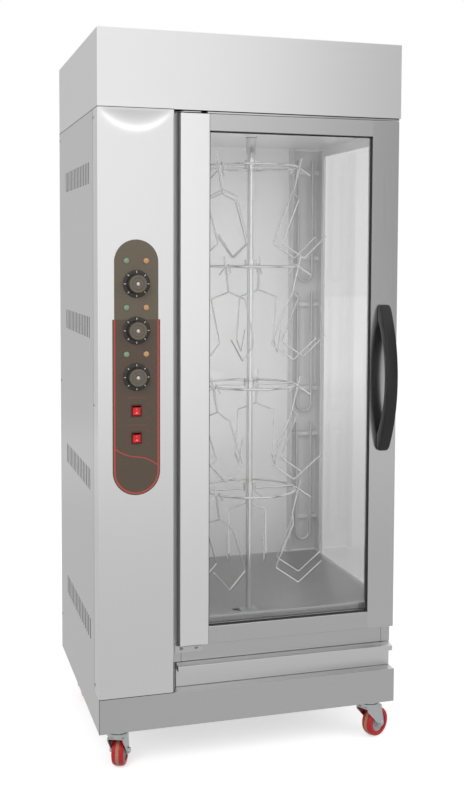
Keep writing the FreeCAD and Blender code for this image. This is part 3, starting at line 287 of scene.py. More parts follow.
# Base plinth: one stainless sheet folded into a shallow box, satin brushed along its length.
# It stands on the casters and carries the cabinet.
def brushed_steel(name, colour, grain, rough, metal=1.0):
    """Stainless sheet brushed along one axis: fine streaks, highlights drawn out, a slight waviness.

    Heat and wear dull a sheet, and a metal share under 1 lets it scatter that much more light.
    """
    # Real brush lines are about 0.1 mm apart; these are drawn at 1.5 mm so that they show.
    streak_mm = 1.5
    streak_length_mm = 160.0
    streak_relief_mm = 0.0015
    streak_dark = 0.975
    uneven = 0.025
    buckle_mm = 260.0
    buckle_relief_mm = 0.5
    scale = [1 / (streak_mm * MM)] * 3
    scale["xyz".index(grain)] = 1 / (streak_length_mm * MM)
    material, tree = new_material(name)
    place = add_node(tree, "ShaderNodeTexCoord").outputs["Object"]
    stretched = add_node(tree, "ShaderNodeMapping", {"Scale": scale, "Vector": place})
    streaks = add_node(tree, "ShaderNodeTexNoise", {"Scale": 1.0, "Detail": 3.0, "Vector": stretched})
    broad = 1 / (buckle_mm * MM)
    buckles = add_node(tree, "ShaderNodeTexNoise", {"Scale": broad, "Detail": 1.0, "Vector": place})
    dark = [c * streak_dark for c in linear(colour)[:3]] + [1.0]
    tone = add_node(tree, "ShaderNodeMixRGB", {"Color1": dark, "Color2": linear(colour), "Fac": streaks})
    span = {"From Min": 0.25, "From Max": 0.75, "To Min": rough - uneven, "To Max": rough + uneven}
    gloss = add_node(tree, "ShaderNodeMapRange", {**span, "Value": streaks})
    depth = {"Strength": 1.0, "Distance": streak_relief_mm * MM}
    lines = add_node(tree, "ShaderNodeBump", {**depth, "Height": streaks})
    depth["Distance"] = buckle_relief_mm * MM
    bump = add_node(tree, "ShaderNodeBump", {**depth, "Height": buckles, "Normal": lines})
    looks = {"Metallic": metal, "Base Color": tone, "Roughness": gloss, "Normal": bump}
    shader = add_node(tree, "ShaderNodeBsdfPrincipled", looks)
    add_node(tree, "ShaderNodeOutputMaterial", {"Surface": shader})
    return material


plinth_steel = brushed_steel("stainless_plinth", "#CFCFCF", "x", 0.34)
plinth = folded("base_plinth", plinth_steel, 0.6)


# Left side panel: flat stainless sheet, brushed upright, with four rows of punched vent slots.
# Its front edge laps the return of the control column, and the plinth's end takes the same finish.
def dress(piece, way, material):
    """Gives the faces of a piece that look one way another material."""
    piece.data.materials.append(material)
    for face in piece.data.polygons:
        if face.normal.dot(Vector(way)) > 0.9:
            face.material_index = len(piece.data.materials) - 1


panel_steel = brushed_steel("stainless_panel", "#E0E0E0", "z", 0.32)
side_panel = folded("left_side_panel", panel_steel, 0.4)
dress(plinth, (-1, 0, 0), panel_steel)
# The sheared walls of the slots are painted a dull dark grey: painted shade in the slots.
slot_shade = mottled(
    "painted_slot_shade", "#3E3E3E", "#333333", 9.0, {"Metallic": 0.6}, relief_mm=0.03, rough=(0.55, 0.7)
)
dress(side_panel, (0, -1, 0), slot_shade)
dress(side_panel, (0, 1, 0), slot_shade)

# Back panel, right side frame and right side glass: the cabinet's other outer walls, of brushed
# stainless sheet, with a toughened pane bedded in the frame's rebate.
folded("back_panel", panel_steel, 0.5)
side_frame = folded("right_side_frame", panel_steel, 1.0)


def clear_glass(name, tint):
    """Toughened float glass: clear, smooth, faintly tinted, and open to light from lamps."""
    material, tree = new_material(name)
    looks = {"Base Color": linear(tint), "Roughness": 0.0, "IOR": 1.45, "Transmission Weight": 1.0}
    pane = add_node(tree, "ShaderNodeBsdfPrincipled", looks)
    passed = add_node(tree, "ShaderNodeBsdfTransparent", {"Color": linear(tint)})
    shadow = add_node(tree, "ShaderNodeLightPath").outputs["Is Shadow Ray"]
    mix = add_node(tree, "ShaderNodeMixShader", {0: shadow, 1: pane, 2: passed})
    add_node(tree, "ShaderNodeOutputMaterial", {"Surface": mix})
    return material


def paint(node, material):
    """Gives a node that keeps its shape a better material."""
    nodes[node].data.materials.clear()
    nodes[node].data.materials.append(material)


# The side pane's grey tint, darker than the door pane's, is painted shade on what is seen through it.
paint("right_side_glass", clear_glass("toughened_side_glass_painted_shade", "#E1E1E1"))

# Chamber walls and front frame: the oven's stainless lining and the plate behind the door, brushed upright. The
# lining is painted paler than the frame, as painted light in the chamber, and its metal share under 1 makes it
# look soft.
lit_lining_steel = brushed_steel("stainless_lining_painted_light", "#F6F6F6", "z", 0.38, metal=0.35)
for node in ("chamber_back_liner", "chamber_ceiling"):
    folded(node, lit_lining_steel, 0.5)
partition = folded("chamber_partition", lit_lining_steel, 0.5)
dress(side_frame, (-1, 0, 0), lit_lining_steel)
# The partition's other side, behind the vents, is painted the same dark grey: painted shade seen through the
# slots.
dress(partition, (-1, 0, 0), slot_shade)
frame_steel = brushed_steel("stainless_frame", "#CFCFCF", "z", 0.36)
folded("front_frame", frame_steel, 0.5)

# Funnel floor and foot bearing: a pan pressed from stainless sheet that drains to the tray below,
# and the zinc plated block in its middle that the spit's foot turns in.
pan_steel = brushed_steel("stainless_pan", "#BABABA", "x", 0.4, metal=0.8)
folded("funnel_floor", pan_steel, 0.5)
folded("foot_bearing", zinc_plate, 2.0, "zinc_steel")

# Heater troughs: two reflectors of steel in the back corners of the chamber, darker and duller than the lining.
# Clip bars across them hold the heating elements.
heater_steel = brushed_steel("darker_trough_steel", "#D8D8D8", "z", 0.42, metal=0.4)
folded("heater_troughs", heater_steel, 0.5, "heater_steel")


# Heating elements: six round sheathed tubes bent into hairpins, dull grey from oxidation.
# Three stand one above another in each trough, held by its clips.
def plain_mesh(holder):
    """The evaluated mesh of an object, as plain data; the object itself is removed."""
    depsgraph = bpy.context.evaluated_depsgraph_get()
    mesh = bpy.data.meshes.new_from_object(holder.evaluated_get(depsgraph))
    holder.modifiers.clear()
    bpy.data.objects.remove(holder)
    return mesh


def tube(paths, radius_mm, name, sides):
    """A mesh of round bars along paths of points in metres."""
    line = bpy.data.curves.new(name, "CURVE")
    line.dimensions = "3D"
    line.bevel_depth = radius_mm * MM
    line.bevel_resolution = sides // 2 - 1
    line.use_fill_caps = True
    for points in paths:
        spline = line.splines.new("POLY")
        spline.points.add(len(points) - 1)
        for slot, point in zip(spline.points, points):
            slot.co = (*point, 1.0)
    return finished(welded(plain_mesh(placed(name, line))), name, 50)


# The oxide skin of the sheath is a dull pale grey with soft patches.
element_steel = mottled(
    "oxidised_element_sheath", "#D2D2D2", "#C4C4C4", 6.0, {"Metallic": 0.5}, relief_mm=0.02, rough=(0.4, 0.55)
)
element_radius_mm = 4.25
element_spread = 22 * MM
element_gap = 30 * MM
bend_steps = 16
trough_low, trough_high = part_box("heater_troughs")
element_low, element_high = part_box("heating_elements")
element_y = (element_low.y + element_high.y) / 2
half_pin = element_spread + element_radius_mm * MM
run = (trough_high.z - trough_low.z - 4 * element_gap) / 3
hairpins = []
for middle_x in (element_low.x + half_pin, element_high.x - half_pin):
    for number in range(3):
        foot = trough_low.z + element_gap + number * (run + element_gap)
        path = [(-element_spread, run)]
        for step in range(bend_steps + 1):
            turn = math.pi * step / bend_steps
            path.append((-element_spread * math.cos(turn), half_pin - element_spread * math.sin(turn)))
        path.append((element_spread, run))
        hairpins.append([(middle_x + x, element_y, foot + z) for x, z in path])
fit("element_hairpins", tube(hairpins, element_radius_mm, "hairpins", 10), element_steel, "cabinet",
    "heater_steel", "heating_elements")

# Gear motor: a cast gearbox with its motor, painted grey, bolted on the ceiling under the hood.
# Machine enamel has a soft gloss over the fine ripple of spraying.
motor_paint = mottled(
    "grey_machine_enamel", "#5B6468", "#535B5F", 2.5, {"IOR": 1.5}, relief_mm=0.05, rough=(0.4, 0.5)
)
paint("gear_motor", motor_paint)

# Control column: one tall stainless sheet folded into a channel, brushed upright.
# It closes the front of the control bay, and the fascia is stuck on its face.
column_steel = brushed_steel("stainless_column", "#F0F0F0", "z", 0.3)
folded("control_column", column_steel, 2.5)

# Control fascia: a printed polyester film on a thin plate, brown grey, a little wider and darker
# over its lower part, which has a red border.
# Film printed on its back is smooth and satin, with an almost even tone.
satin = {"relief_mm": 0.004, "rough": (0.38, 0.46)}
film_brown = mottled("printed_film_brown", "#625849", "#5D5345", 5.0, {"IOR": 1.57}, **satin)
film_dark = mottled("printed_film_dark", "#524436", "#4D3F32", 5.0, {"IOR": 1.57}, **satin)
fascia_low, fascia_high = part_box("control_fascia")
fascia_x = (fascia_low.x + fascia_high.x) / 2
fascia_face = fascia_low.y
half_lower = (fascia_high.x - fascia_low.x) / 2
half_upper = 52.75 * MM
step_z = fascia_low.z + 418 * MM
arc_steps = 24


def round_end(half, middle_z, start_degrees):
    """Points on a half round end of the fascia, as X and Z."""
    turns = [math.radians(start_degrees + 180 * step / arc_steps) for step in range(arc_steps + 1)]
    return [(fascia_x + half * math.cos(turn), middle_z + half * math.sin(turn)) for turn in turns]


def oblong(left, right, low, high, inset):
    """The corners of an upright rectangle, drawn in by an inset, as X and Z."""
    return [(left + inset, low + inset), (right - inset, low + inset), (right - inset, high - inset),
            (left + inset, high - inset)]


def plate(outlines, front, back, name):
    """A flat plate between two depths, from an outline and any holes, as X and Z."""
    work = bmesh.new()
    for outline in outlines:
        verts = [work.verts.new((x, front, z)) for x, z in outline]
        for vert, after in zip(verts, verts[1:] + verts[:1]):
            work.edges.new((vert, after))
    bmesh.ops.triangle_fill(work, use_beauty=True, use_dissolve=False, edges=work.edges)
    sides = bmesh.ops.extrude_face_region(work, geom=work.faces[:])["geom"]
    moved = [item for item in sides if isinstance(item, bmesh.types.BMVert)]
    bmesh.ops.translate(work, verts=moved, vec=(0, back - front, 0))
    return finished(work, name)


bezel_low, bezel_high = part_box("rocker_bezels")
bezel_height = 29 * MM
bezel_lap = 2 * MM
switch_holes = [
    oblong(bezel_low.x, bezel_high.x, foot, foot + bezel_height, bezel_lap)
    for foot in (bezel_low.z, bezel_high.z - bezel_height)
]
lower_end = round_end(half_lower, fascia_low.z + half_lower, 180)
lower = lower_end + [(fascia_x + half_lower, step_z), (fascia_x - half_lower, step_z)]
film = plate([lower, *switch_holes], fascia_face, fascia_high.y, "fascia_lower_film")
fit("fascia_lower_film", film, film_dark, "cabinet", "fascia_film", "control_fascia")
upper_end = round_end(half_upper, fascia_high.z - half_upper, 0)
upper = upper_end + [(fascia_x - half_upper, step_z), (fascia_x + half_upper, step_z)]
film = plate([upper], fascia_face, fascia_high.y, "fascia_upper_film")
fit("fascia_upper_film", film, film_brown, "cabinet", "fascia_film")

# Fascia print: a red border round the lower part, a wavy rule across it and the switch marks,
# screen printed on the film.
# Screen ink lies on the film as a thin, slightly uneven coat of dull gloss.
dull = {"relief_mm": 0.002, "rough": (0.4, 0.5)}
ink_red = mottled("screen_ink_red", "#BE4640", "#B23C37", 4.0, {"IOR": 1.5}, **dull)
ink_dim = mottled("screen_ink_dim_red", "#8A4A42", "#7C423A", 4.0, {"IOR": 1.5}, **dull)


def ribbon(points, width_mm, name, lift_mm=0.08):
    """A flat printed line of one width along points given as X and Z."""
    work = bmesh.new()
    front = fascia_face - lift_mm * MM
    sections = []
    for index, (x, z) in enumerate(points):
        before = Vector(points[max(index - 1, 0)])
        after = Vector(points[min(index + 1, len(points) - 1)])
        side = (after - before).normalized() * width_mm * MM / 2
        corners = ((-1, front), (1, front), (1, fascia_face), (-1, fascia_face))
        sections.append([work.verts.new((x - sign * side.y, y, z + sign * side.x)) for sign, y in corners])
    skin(work, sections, capped=True)
    return finished(work, name)


border_inset = 4.8 * MM
border_width_mm = 3.2
border_half = half_lower - border_inset
border_end = round_end(border_half, fascia_low.z + half_lower, 180)
border = [(fascia_x - border_half, step_z), *border_end, (fascia_x + border_half, step_z)]
fit("print_border", ribbon(border, border_width_mm, "print_border"), ink_red, "cabinet", "fascia_film")
wave_high = fascia_low.z + 113 * MM
wave_fall = 43 * MM
wave_swing = 1 / 9
wave_width_mm = 2.0
# The wave is printed a little thinner than the border, so that where they meet the border shows.
wave_lift_mm = 0.06
wave = []
for step in range(arc_steps + 1):
    share = step / arc_steps
    ease = share + math.sin(2 * math.pi * share) * wave_swing
    wave.append((fascia_x + (2 * share - 1) * border_half, wave_high - wave_fall * ease))
waved = ribbon(wave, wave_width_mm, "print_wave", wave_lift_mm)
fit("print_wave", waved, ink_red, "cabinet", "fascia_film")
UPRIGHT = Matrix.Rotation(math.pi / 2, 4, "X")
ink = 0.04 * MM


def lettering(text, height_mm, place, name):
    """A word as a thin upright mesh whose capitals have a height, put in place."""
    capital_share = 0.7
    words = bpy.data.curves.new(name, "FONT")
    words.body = text
    words.size = height_mm * MM / capital_share
    words.align_x = "CENTER"
    words.align_y = "CENTER"
    words.extrude = ink
    words.resolution_u = 3
    work = welded(plain_mesh(placed(name, words)))
    bmesh.ops.transform(work, matrix=place @ UPRIGHT, verts=work.verts)
    return finished(work, name)


word_height_mm = 4.2
word_offset = 27 * MM
word_rise = 15 * MM
rule_rise = 32 * MM
rule_half = 22 * MM
rule_width_mm = 1.2
for rocker in ("rocker_lower", "rocker_upper"):
    low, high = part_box(rocker)
    middle = (low + high) / 2
    for word, rise in (("ON", word_rise), ("OFF", -word_rise)):
        spot = Matrix.Translation((middle.x + word_offset, fascia_face - ink, middle.z + rise))
        mark = lettering(word, word_height_mm, spot, f"print_{word.lower()}")
        fit(f"print_{word.lower()}_{rocker}", mark, ink_dim, "cabinet", "fascia_film")
    rule = [(middle.x + end, middle.z + rule_rise) for end in (-rule_half, rule_half)]
    ruled = ribbon(rule, rule_width_mm, "print_rule")
    fit(f"print_rule_{rocker}", ruled, ink_dim, "cabinet", "fascia_film")

# Thermostats: three moulded blocks fixed behind the column, whose spindles carry the knobs.
# Moulded ABS is near black, with a fine matt grain.
moulded_black = mottled(
    "moulded_black_abs", "#1E1E1E", "#262625", 1.5, {"IOR": 1.53}, relief_mm=0.03, rough=(0.36, 0.48)
)
paint("thermostats", moulded_black)

# Control knobs: a wide black skirt with white marks and a tall cap, moulded in one, with a brown
# inlay pressed in the cap, and a bright screw that holds the knob on the thermostat's spindle.
# The knobs' black has more gloss than the blocks behind them, and the inlay is a little duller.
knob_black = mottled(
    "moulded_knob_black", "#26231F", "#302C27", 1.2, {"IOR": 1.53}, relief_mm=0.02, rough=(0.3, 0.42)
)
knob_brown = mottled(
    "moulded_knob_brown", "#665D50", "#5A5247", 1.2, {"IOR": 1.53}, relief_mm=0.02, rough=(0.34, 0.46)
)
# Chrome is a mirror with only a trace of haze.
chrome = mottled(
    "chrome_plate", "#E3E4E5", "#D2D3D4", 8.0, {"Metallic": 1.0}, relief_mm=0.0, rough=(0.08, 0.14)
)
# Pad print is an opaque white coat with a soft sheen.
mark_white = mottled(
    "pad_print_white", "#E9E9E4", "#DADAD4", 2.0, {"IOR": 1.5}, relief_mm=0.002, rough=(0.45, 0.55)
)
skirt_profile = [(0, 0.2), (30.5, 0.2), (32.3, 1.2), (32.5, 2.2), (31.2, 3.6), (28, 4.1),
                 (24.6, 4.2), (0, 4.2)]
cap_profile = [(0, 3.6), (24.2, 3.6), (24, 6), (23.4, 8), (22.8, 19.5), (22, 21.6), (20.9, 22.4), (0, 22.4)]
inlay_profile = [(0, 22), (20.7, 22), (20.5, 23.2), (19.8, 23.8), (15.2, 23.9), (14.4, 22.9), (13.2, 22.9),
                 (12.4, 23.6), (7.6, 23.6), (6.9, 22.7), (5.6, 22.7), (0, 22.7)]
screw_profile = [(0, 25.4), (2.2, 25.2), (4.2, 24.2), (4.9, 22.8), (0, 22.8)]


def node_tree(name, sockets):
    """An empty geometry tree with named inputs of given kinds, and the sockets of those inputs."""
    tree = bpy.data.node_groups.new(name, "GeometryNodeTree")
    for label, kind in sockets.items():
        tree.interface.new_socket(label, in_out="INPUT", socket_type=f"NodeSocket{kind}")
    tree.interface.new_socket("Geometry", in_out="OUTPUT", socket_type="NodeSocketGeometry")
    return tree, add_node(tree, "NodeGroupInput").outputs


def set_on(tree, points, instance, material, turned=None):
    """Ends a tree: sets an instance on points, makes the copies real and gives them their material."""
    settings = {"Points": points, "Instance": instance, **(turned or {})}
    copies = add_node(tree, "GeometryNodeInstanceOnPoints", settings)
    real = add_node(tree, "GeometryNodeRealizeInstances", {"Geometry": copies})
    coated = add_node(tree, "GeometryNodeSetMaterial", {"Geometry": real, "Material": material})
    add_node(tree, "NodeGroupOutput", {"Geometry": coated})


def grown(tree, inputs, name, start=None):
    """The plain mesh that a geometry tree makes from named inputs."""
    holder = placed(name, start or bpy.data.meshes.new(name))
    modifier = holder.modifiers.new(name, "NODES")
    modifier.node_group = tree
    for item in tree.interface.items_tree:
        if item.in_out == "INPUT" and item.name in inputs:
            modifier[item.identifier] = inputs[item.name]
    return plain_mesh(holder)


# Short marks stand evenly round a circle, each along its radius.
dial_sockets = {"Count": "Int", "Radius": "Float", "Size": "Vector", "Material": "Material"}
dial_tree, given = node_tree("dial_marks", dial_sockets)
circle_sizes = {"Vertices": given["Count"], "Radius": given["Radius"]}
circle = add_node(dial_tree, "GeometryNodeMeshCircle", circle_sizes)
outward = add_node(dial_tree, "GeometryNodeInputPosition")
along_radius = {"axis": "X", "pivot_axis": "Z", "Vector": outward}
facing = add_node(dial_tree, "FunctionNodeAlignEulerToVector", along_radius)
mark = add_node(dial_tree, "GeometryNodeMeshCube", {"Size": given["Size"]})
set_on(dial_tree, circle, mark, given["Material"], {"Rotation": facing})
mark_size = Vector((4.6, 1.5, 0.3)) * MM
dial_sizes = {"Count": 8, "Radius": 28.2 * MM, "Size": mark_size, "Material": mark_white}
skirt_top = Matrix.Translation((0, 0, 4.1 * MM))
for knob in ("knob_lower", "knob_middle", "knob_upper"):
    low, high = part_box(knob)
    seat = Matrix.Translation(((low.x + high.x) / 2, fascia_face, (low.z + high.z) / 2)) @ UPRIGHT
    skirt = finished(lathe(skirt_profile, seat), "knob_skirt")
    fit(f"{knob}_skirt", skirt, knob_black, knob, "knob_plastic", knob)
    fit(f"{knob}_cap", finished(lathe(cap_profile, seat), "knob_cap"), knob_black, knob, "knob_plastic")
    fit(f"{knob}_inlay", finished(lathe(inlay_profile, seat), "knob_inlay"), knob_brown, knob, "knob_plastic")
    fit(f"{knob}_screw", finished(lathe(screw_profile, seat, 24), "knob_screw"), chrome, knob, "zinc_steel")
    marks = grown(dial_tree, dial_sizes, "dial_marks")
    marks.transform(seat @ skirt_top)
    fit(f"{knob}_marks", marks, mark_white, knob, "knob_plastic")

# Pilot lamps: domed acrylic lenses, green for power and amber for heat, each in a brown rim,
# snapped into the fascia above its knob.
lens_profile = [(0, 3.0), (2.8, 2.8), (5.0, 2.1), (6.5, 1.0), (6.7, 0.1), (0, 0.1)]
rim_profile = [(6.6, 0.1), (6.7, 0.9), (7.0, 1.0), (7.2, 0.7), (7.3, 0.1)]
for colour, tones in (("green", ("#849C80", "#728C70")), ("amber", ("#C49A6C", "#B58A5C"))):
    node = f"pilot_lamps_{colour}"
    # Moulded acrylic is glossy, with a slight ripple that breaks up its highlight.
    acrylic = mottled(f"acrylic_{colour}", *tones, 1.6, {"IOR": 1.49}, relief_mm=0.05, rough=(0.12, 0.2))
    low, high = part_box(node)
    lamp_radius = (high.x - low.x) / 2
    domes = bmesh.new()
    rims = bmesh.new()
    for share in (0, 0.5, 1):
        level = low.z + lamp_radius + share * (high.z - low.z - 2 * lamp_radius)
        seat = Matrix.Translation((low.x + lamp_radius, fascia_face, level)) @ UPRIGHT
        for work, profile, closed in ((domes, lens_profile, False), (rims, rim_profile, True)):
            work.from_mesh(finished(lathe(profile, seat, 28, closed), "lamp"))
    lenses = finished(domes, "lamp_lenses")
    fit(f"lamp_lenses_{colour}", lenses, acrylic, "cabinet", f"{colour}_lens", node)
    fit(f"lamp_rims_{colour}", finished(rims, "lamp_rims"), knob_brown, "cabinet", "black_plastic")

# Rocker switches: a dark red moulded bezel snapped into the column, and a glossy red rocker in it
# with its on and off marks, a bar and a ring.
# Polycarbonate is bright with a clean gloss; the bezel's plastic has a matt grain.
rocker_red = mottled(
    "polycarbonate_red", "#D81512", "#CA100E", 3.0, {"IOR": 1.58}, relief_mm=0.01, rough=(0.2, 0.3)
)
bezel_red = mottled(
    "moulded_bezel_red", "#571512", "#4A110F", 2.0, {"IOR": 1.53}, relief_mm=0.03, rough=(0.36, 0.48)
)
sign_height_mm = 4.0
folded("rocker_bezels", bezel_red, 0.8, "black_plastic")
for rocker in ("rocker_lower", "rocker_upper"):
    paddle = folded(rocker, rocker_red, 0.7, "red_rocker").data
    fronts = [face for face in paddle.polygons if face.normal.y < -0.5]
    halves = sorted(fronts, key=lambda face: face.area)[-2:]
    for sign, facet in zip("OI", sorted(halves, key=lambda face: face.center.z)):
        tilt = Matrix.Rotation(-math.atan2(facet.normal.z, -facet.normal.y), 4, "X")
        spot = Matrix.Translation(facet.center + facet.normal * ink) @ tilt
        mark = lettering(sign, sign_height_mm, spot, f"rocker_mark_{sign.lower()}")
        fit(f"{rocker}_mark_{sign.lower()}", mark, mark_white, rocker, "red_rocker")

# Hinge brackets: two plates of brushed stainless with pins on which the door hangs.
# They are screwed to the front frame.
hinge_steel = brushed_steel("stainless_hinge", "#D8D8D8", "x", 0.34)
folded("hinge_brackets", hinge_steel, 0.8)

# Door frame: two stiles and two rails of folded stainless, brushed along their length and butted
# at the corners, with a black rubber bead that holds the glass.
# The two stiles are one stainless painted in two tones: the hinge stile near white as painted light, the handle
# stile darker as painted shade.
lit_hinge_stile_steel = brushed_steel("stainless_hinge_stile_painted_light", "#F9F9F9", "z", 0.3)
shaded_handle_stile_steel = brushed_steel("stainless_handle_stile_painted_shade", "#D5D5D5", "z", 0.2)
rail_steel = brushed_steel("stainless_rail", "#CFCFCF", "x", 0.3)
hinge_stile = folded("door_hinge_stile", lit_hinge_stile_steel, 1.6)
folded("door_handle_stile", shaded_handle_stile_steel, 1.6)
for node in ("door_top_rail", "door_bottom_rail"):
    folded(node, rail_steel, 1.6)
paint("door_glass", clear_glass("toughened_door_glass", "#FDFDFD"))
# The stile's face beside the control column is painted a dull mid grey: painted shade of the narrow gap there.
gap_shade_grey = mottled(
    "painted_gap_shade_grey", "#8E8E8D", "#808080", 1.0, {"IOR": 1.41}, relief_mm=0.05, rough=(0.5, 0.65)
)
dress(hinge_stile, (-1, 0, 0), gap_shade_grey)
# The bead's rubber is dull black and takes almost no highlight.
rubber_black = mottled(
    "epdm_rubber", "#2B2B2B", "#343434", 1.0, {"IOR": 1.52}, relief_mm=0.05, rough=(0.55, 0.7)
)
handle_stile_low, handle_stile_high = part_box("door_handle_stile")
bottom_rail_low, bottom_rail_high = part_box("door_bottom_rail")
top_rail_low, top_rail_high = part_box("door_top_rail")
opening = (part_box("door_hinge_stile")[1].x, handle_stile_low.x, bottom_rail_high.z, top_rail_low.z)
glass_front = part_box("door_glass")[0].y
bead_width = 3 * MM
bead_depth = 3.5 * MM
bead_gap = 0.05 * MM
bead_outlines = [oblong(*opening, inset) for inset in (0, bead_width)]
bead = plate(bead_outlines, glass_front - bead_depth, glass_front - bead_gap, "door_glass_bead")
fit("door_glass_bead", bead, rubber_black, "door", "black_plastic")

# Door handle: a bowed pull moulded in black phenolic plastic with rounded edges, screwed to the
# handle stile from behind at both ends.
# Phenolic plastic polishes to a deep black with a broad soft highlight.
handle_black = mottled(
    "phenolic_black", "#131313", "#191919", 2.0, {"IOR": 1.5}, relief_mm=0.03, rough=(0.28, 0.36)
)
handle_low, handle_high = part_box("door_handle")
handle_middle = (handle_low + handle_high) / 2
half_length = (handle_high.z - handle_low.z) / 2
reach = handle_high.y - handle_low.y
half_span = 144 * MM
end_depth = 11 * MM
grip_gap = 44 * MM
edge_radius = 3.6 * MM
corner_steps = 4
ring_steps = 72
tip = 12 * MM
tip_steps = 6
tip_share = 0.65


def bow(offset, half_chord, rise):
    """How far a flat arc stands off its chord at an offset from its middle."""
    radius = (half_chord ** 2 + rise ** 2) / (2 * rise)
    inside = max(radius ** 2 - offset ** 2, 0.0)
    return max(math.sqrt(inside) - (radius - rise), 0.0)


def handle_ring(work, offset, shrink):
    """One slice of the handle: a rectangle with rounded corners, drawn in towards the tips."""
    outer = end_depth + bow(offset, half_length, reach - end_depth)
    inner = bow(offset, half_span, grip_gap)
    half_x = (handle_high.x - handle_low.x) / 2 * shrink
    # A tip draws in more from behind than from the front, and a thin slice takes a smaller edge radius.
    back_draw, front_draw = 0.5, 0.3
    depth_share, width_share = 0.42, 0.8
    back_y = handle_high.y - inner - outer * back_draw * (1 - shrink)
    front_y = handle_high.y - outer + outer * front_draw * (1 - shrink)
    edge = min(edge_radius, (back_y - front_y) * depth_share, half_x * width_share)
    ring = []
    for quarter, (sign, y) in enumerate(((1, back_y - edge), (-1, back_y - edge), (-1, front_y + edge),
                                         (1, front_y + edge))):
        x = handle_middle.x + sign * (half_x - edge)
        for step in range(corner_steps + 1):
            turn = math.radians(90 * (quarter + step / corner_steps))
            spot = (x + edge * math.cos(turn), y + edge * math.sin(turn), handle_middle.z + offset)
            ring.append(work.verts.new(spot))
    return ring


slices = []
for step in range(tip_steps + 1):
    turn = math.pi / 2 * step / tip_steps
    slices.append((tip * (1 - math.cos(turn)) - half_length, tip_share + (1 - tip_share) * math.sin(turn)))
grip_length = 2 * (half_length - tip)
slices += [(tip - half_length + grip_length * step / ring_steps, 1.0) for step in range(1, ring_steps)]
slices += [(-offset, shrink) for offset, shrink in reversed(slices[:tip_steps + 1])]
handle = bmesh.new()
skin(handle, [handle_ring(handle, offset, shrink) for offset, shrink in slices], capped=True)
fit("handle_bow", finished(handle, "handle_bow", 50), handle_black, "door", "black_plastic", "door_handle")

# Spit shaft: a polished stainless bar with a turned foot and a drive boss, standing in the foot
# bearing and driven from above.
# Polished stainless mirrors what is round it, with a slight unevenness.
polished_steel = mottled(
    "polished_stainless", "#F0F0F0", "#E2E2E2", 12.0, {"Metallic": 1.0}, relief_mm=0.01, rough=(0.12, 0.2)
)
shaft_low, shaft_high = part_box("spit_shaft")
shaft_middle = (shaft_low + shaft_high) / 2
shaft_end_mm = (shaft_high.z - shaft_low.z) / MM
boss_top_mm = (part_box("chamber_ceiling")[0].z - shaft_low.z) / MM
boss_foot_mm = boss_top_mm - 44
foot_mm = 11.7
shaft_profile = [
    (0, 0), (5.4, 0), (6, 0.6), (6, foot_mm), (8.2, foot_mm), (9, foot_mm + 0.8), (9, boss_foot_mm),
    (11.8, boss_foot_mm), (13, boss_foot_mm + 1.2), (13, boss_top_mm - 1), (12.2, boss_top_mm),
    (7, boss_top_mm), (7, shaft_end_mm), (0, shaft_end_mm),
]
shaft_place = Matrix.Translation((shaft_middle.x, shaft_middle.y, shaft_low.z))
spit = finished(lathe(shaft_profile, shaft_place), "spit_bar")
fit("spit_bar", spit, polished_steel, "carousel", "spit_steel", "spit_shaft")

# Tier rings: four hoops of polished round bar on crossed spokes, welded to hubs that are fixed on
# the shaft.
ring_lengths = ("Ring Radius", "Bar Radius", "Spoke Radius", "Hub Radius", "Hub Height", "Hub Drop")
ring_sockets = {"Geometry": "Geometry", **dict.fromkeys(ring_lengths, "Float"), "Material": "Material"}
ring_tree, given = node_tree("tier_rings", ring_sockets)
hoop, bar, spoke_bar = (
    add_node(ring_tree, "GeometryNodeCurvePrimitiveCircle", {"Resolution": sides, "Radius": given[radius]})
    for sides, radius in ((96, "Ring Radius"), (12, "Bar Radius"), (10, "Spoke Radius"))
)
parts = [add_node(ring_tree, "GeometryNodeCurveToMesh", {"Curve": hoop, "Profile Curve": bar})]
spoke_length = add_node(ring_tree, "ShaderNodeCombineXYZ", {"X": given["Ring Radius"], "Y": 1.0, "Z": 1.0})
for turn in (0, math.pi / 2):
    line = add_node(ring_tree, "GeometryNodeCurvePrimitiveLine", {"Start": (-1, 0, 0), "End": (1, 0, 0)})
    laid = {"Rotation": (0, 0, turn), "Geometry": line, "Scale": spoke_length}
    spoke = {"Curve": add_node(ring_tree, "GeometryNodeTransform", laid), "Profile Curve": spoke_bar}
    parts.append(add_node(ring_tree, "GeometryNodeCurveToMesh", {"Fill Caps": True, **spoke}))
hub_sizes = {"Vertices": 36, "Radius": given["Hub Radius"], "Depth": given["Hub Height"]}
hub = add_node(ring_tree, "GeometryNodeMeshCylinder", hub_sizes)
drop = add_node(ring_tree, "ShaderNodeCombineXYZ", {"Z": given["Hub Drop"]})
parts.append(add_node(ring_tree, "GeometryNodeTransform", {"Geometry": hub, "Translation": drop}))
joined = add_node(ring_tree, "GeometryNodeJoinGeometry")
for part in parts:
    ring_tree.links.new(part.outputs[0], joined.inputs["Geometry"])
set_on(ring_tree, given["Geometry"], joined, given["Material"])
TIERS = ("one", "two", "three", "four")
tier_levels = [joints[f"hook_{tier}_a_swing"]["pos_m"][2] for tier in TIERS]
tier_points = bpy.data.meshes.new("tier_points")
tier_points.from_pydata([(shaft_middle.x, shaft_middle.y, level) for level in tier_levels], [], [])
ring_sizes_mm = dict(zip(ring_lengths, (125, 3.1, 2.4, 17, 24, 6)))
ring_sizes = {name: size * MM for name, size in ring_sizes_mm.items()}
rings = grown(ring_tree, {**ring_sizes, "Material": polished_steel}, "tier_rings", tier_points)
rings.polygons.foreach_set("use_smooth", [True] * len(rings.polygons))
rings.set_sharp_from_angle(angle=math.radians(35))
fit("tier_hoops", rings, polished_steel, "carousel", "spit_steel", "tier_rings")


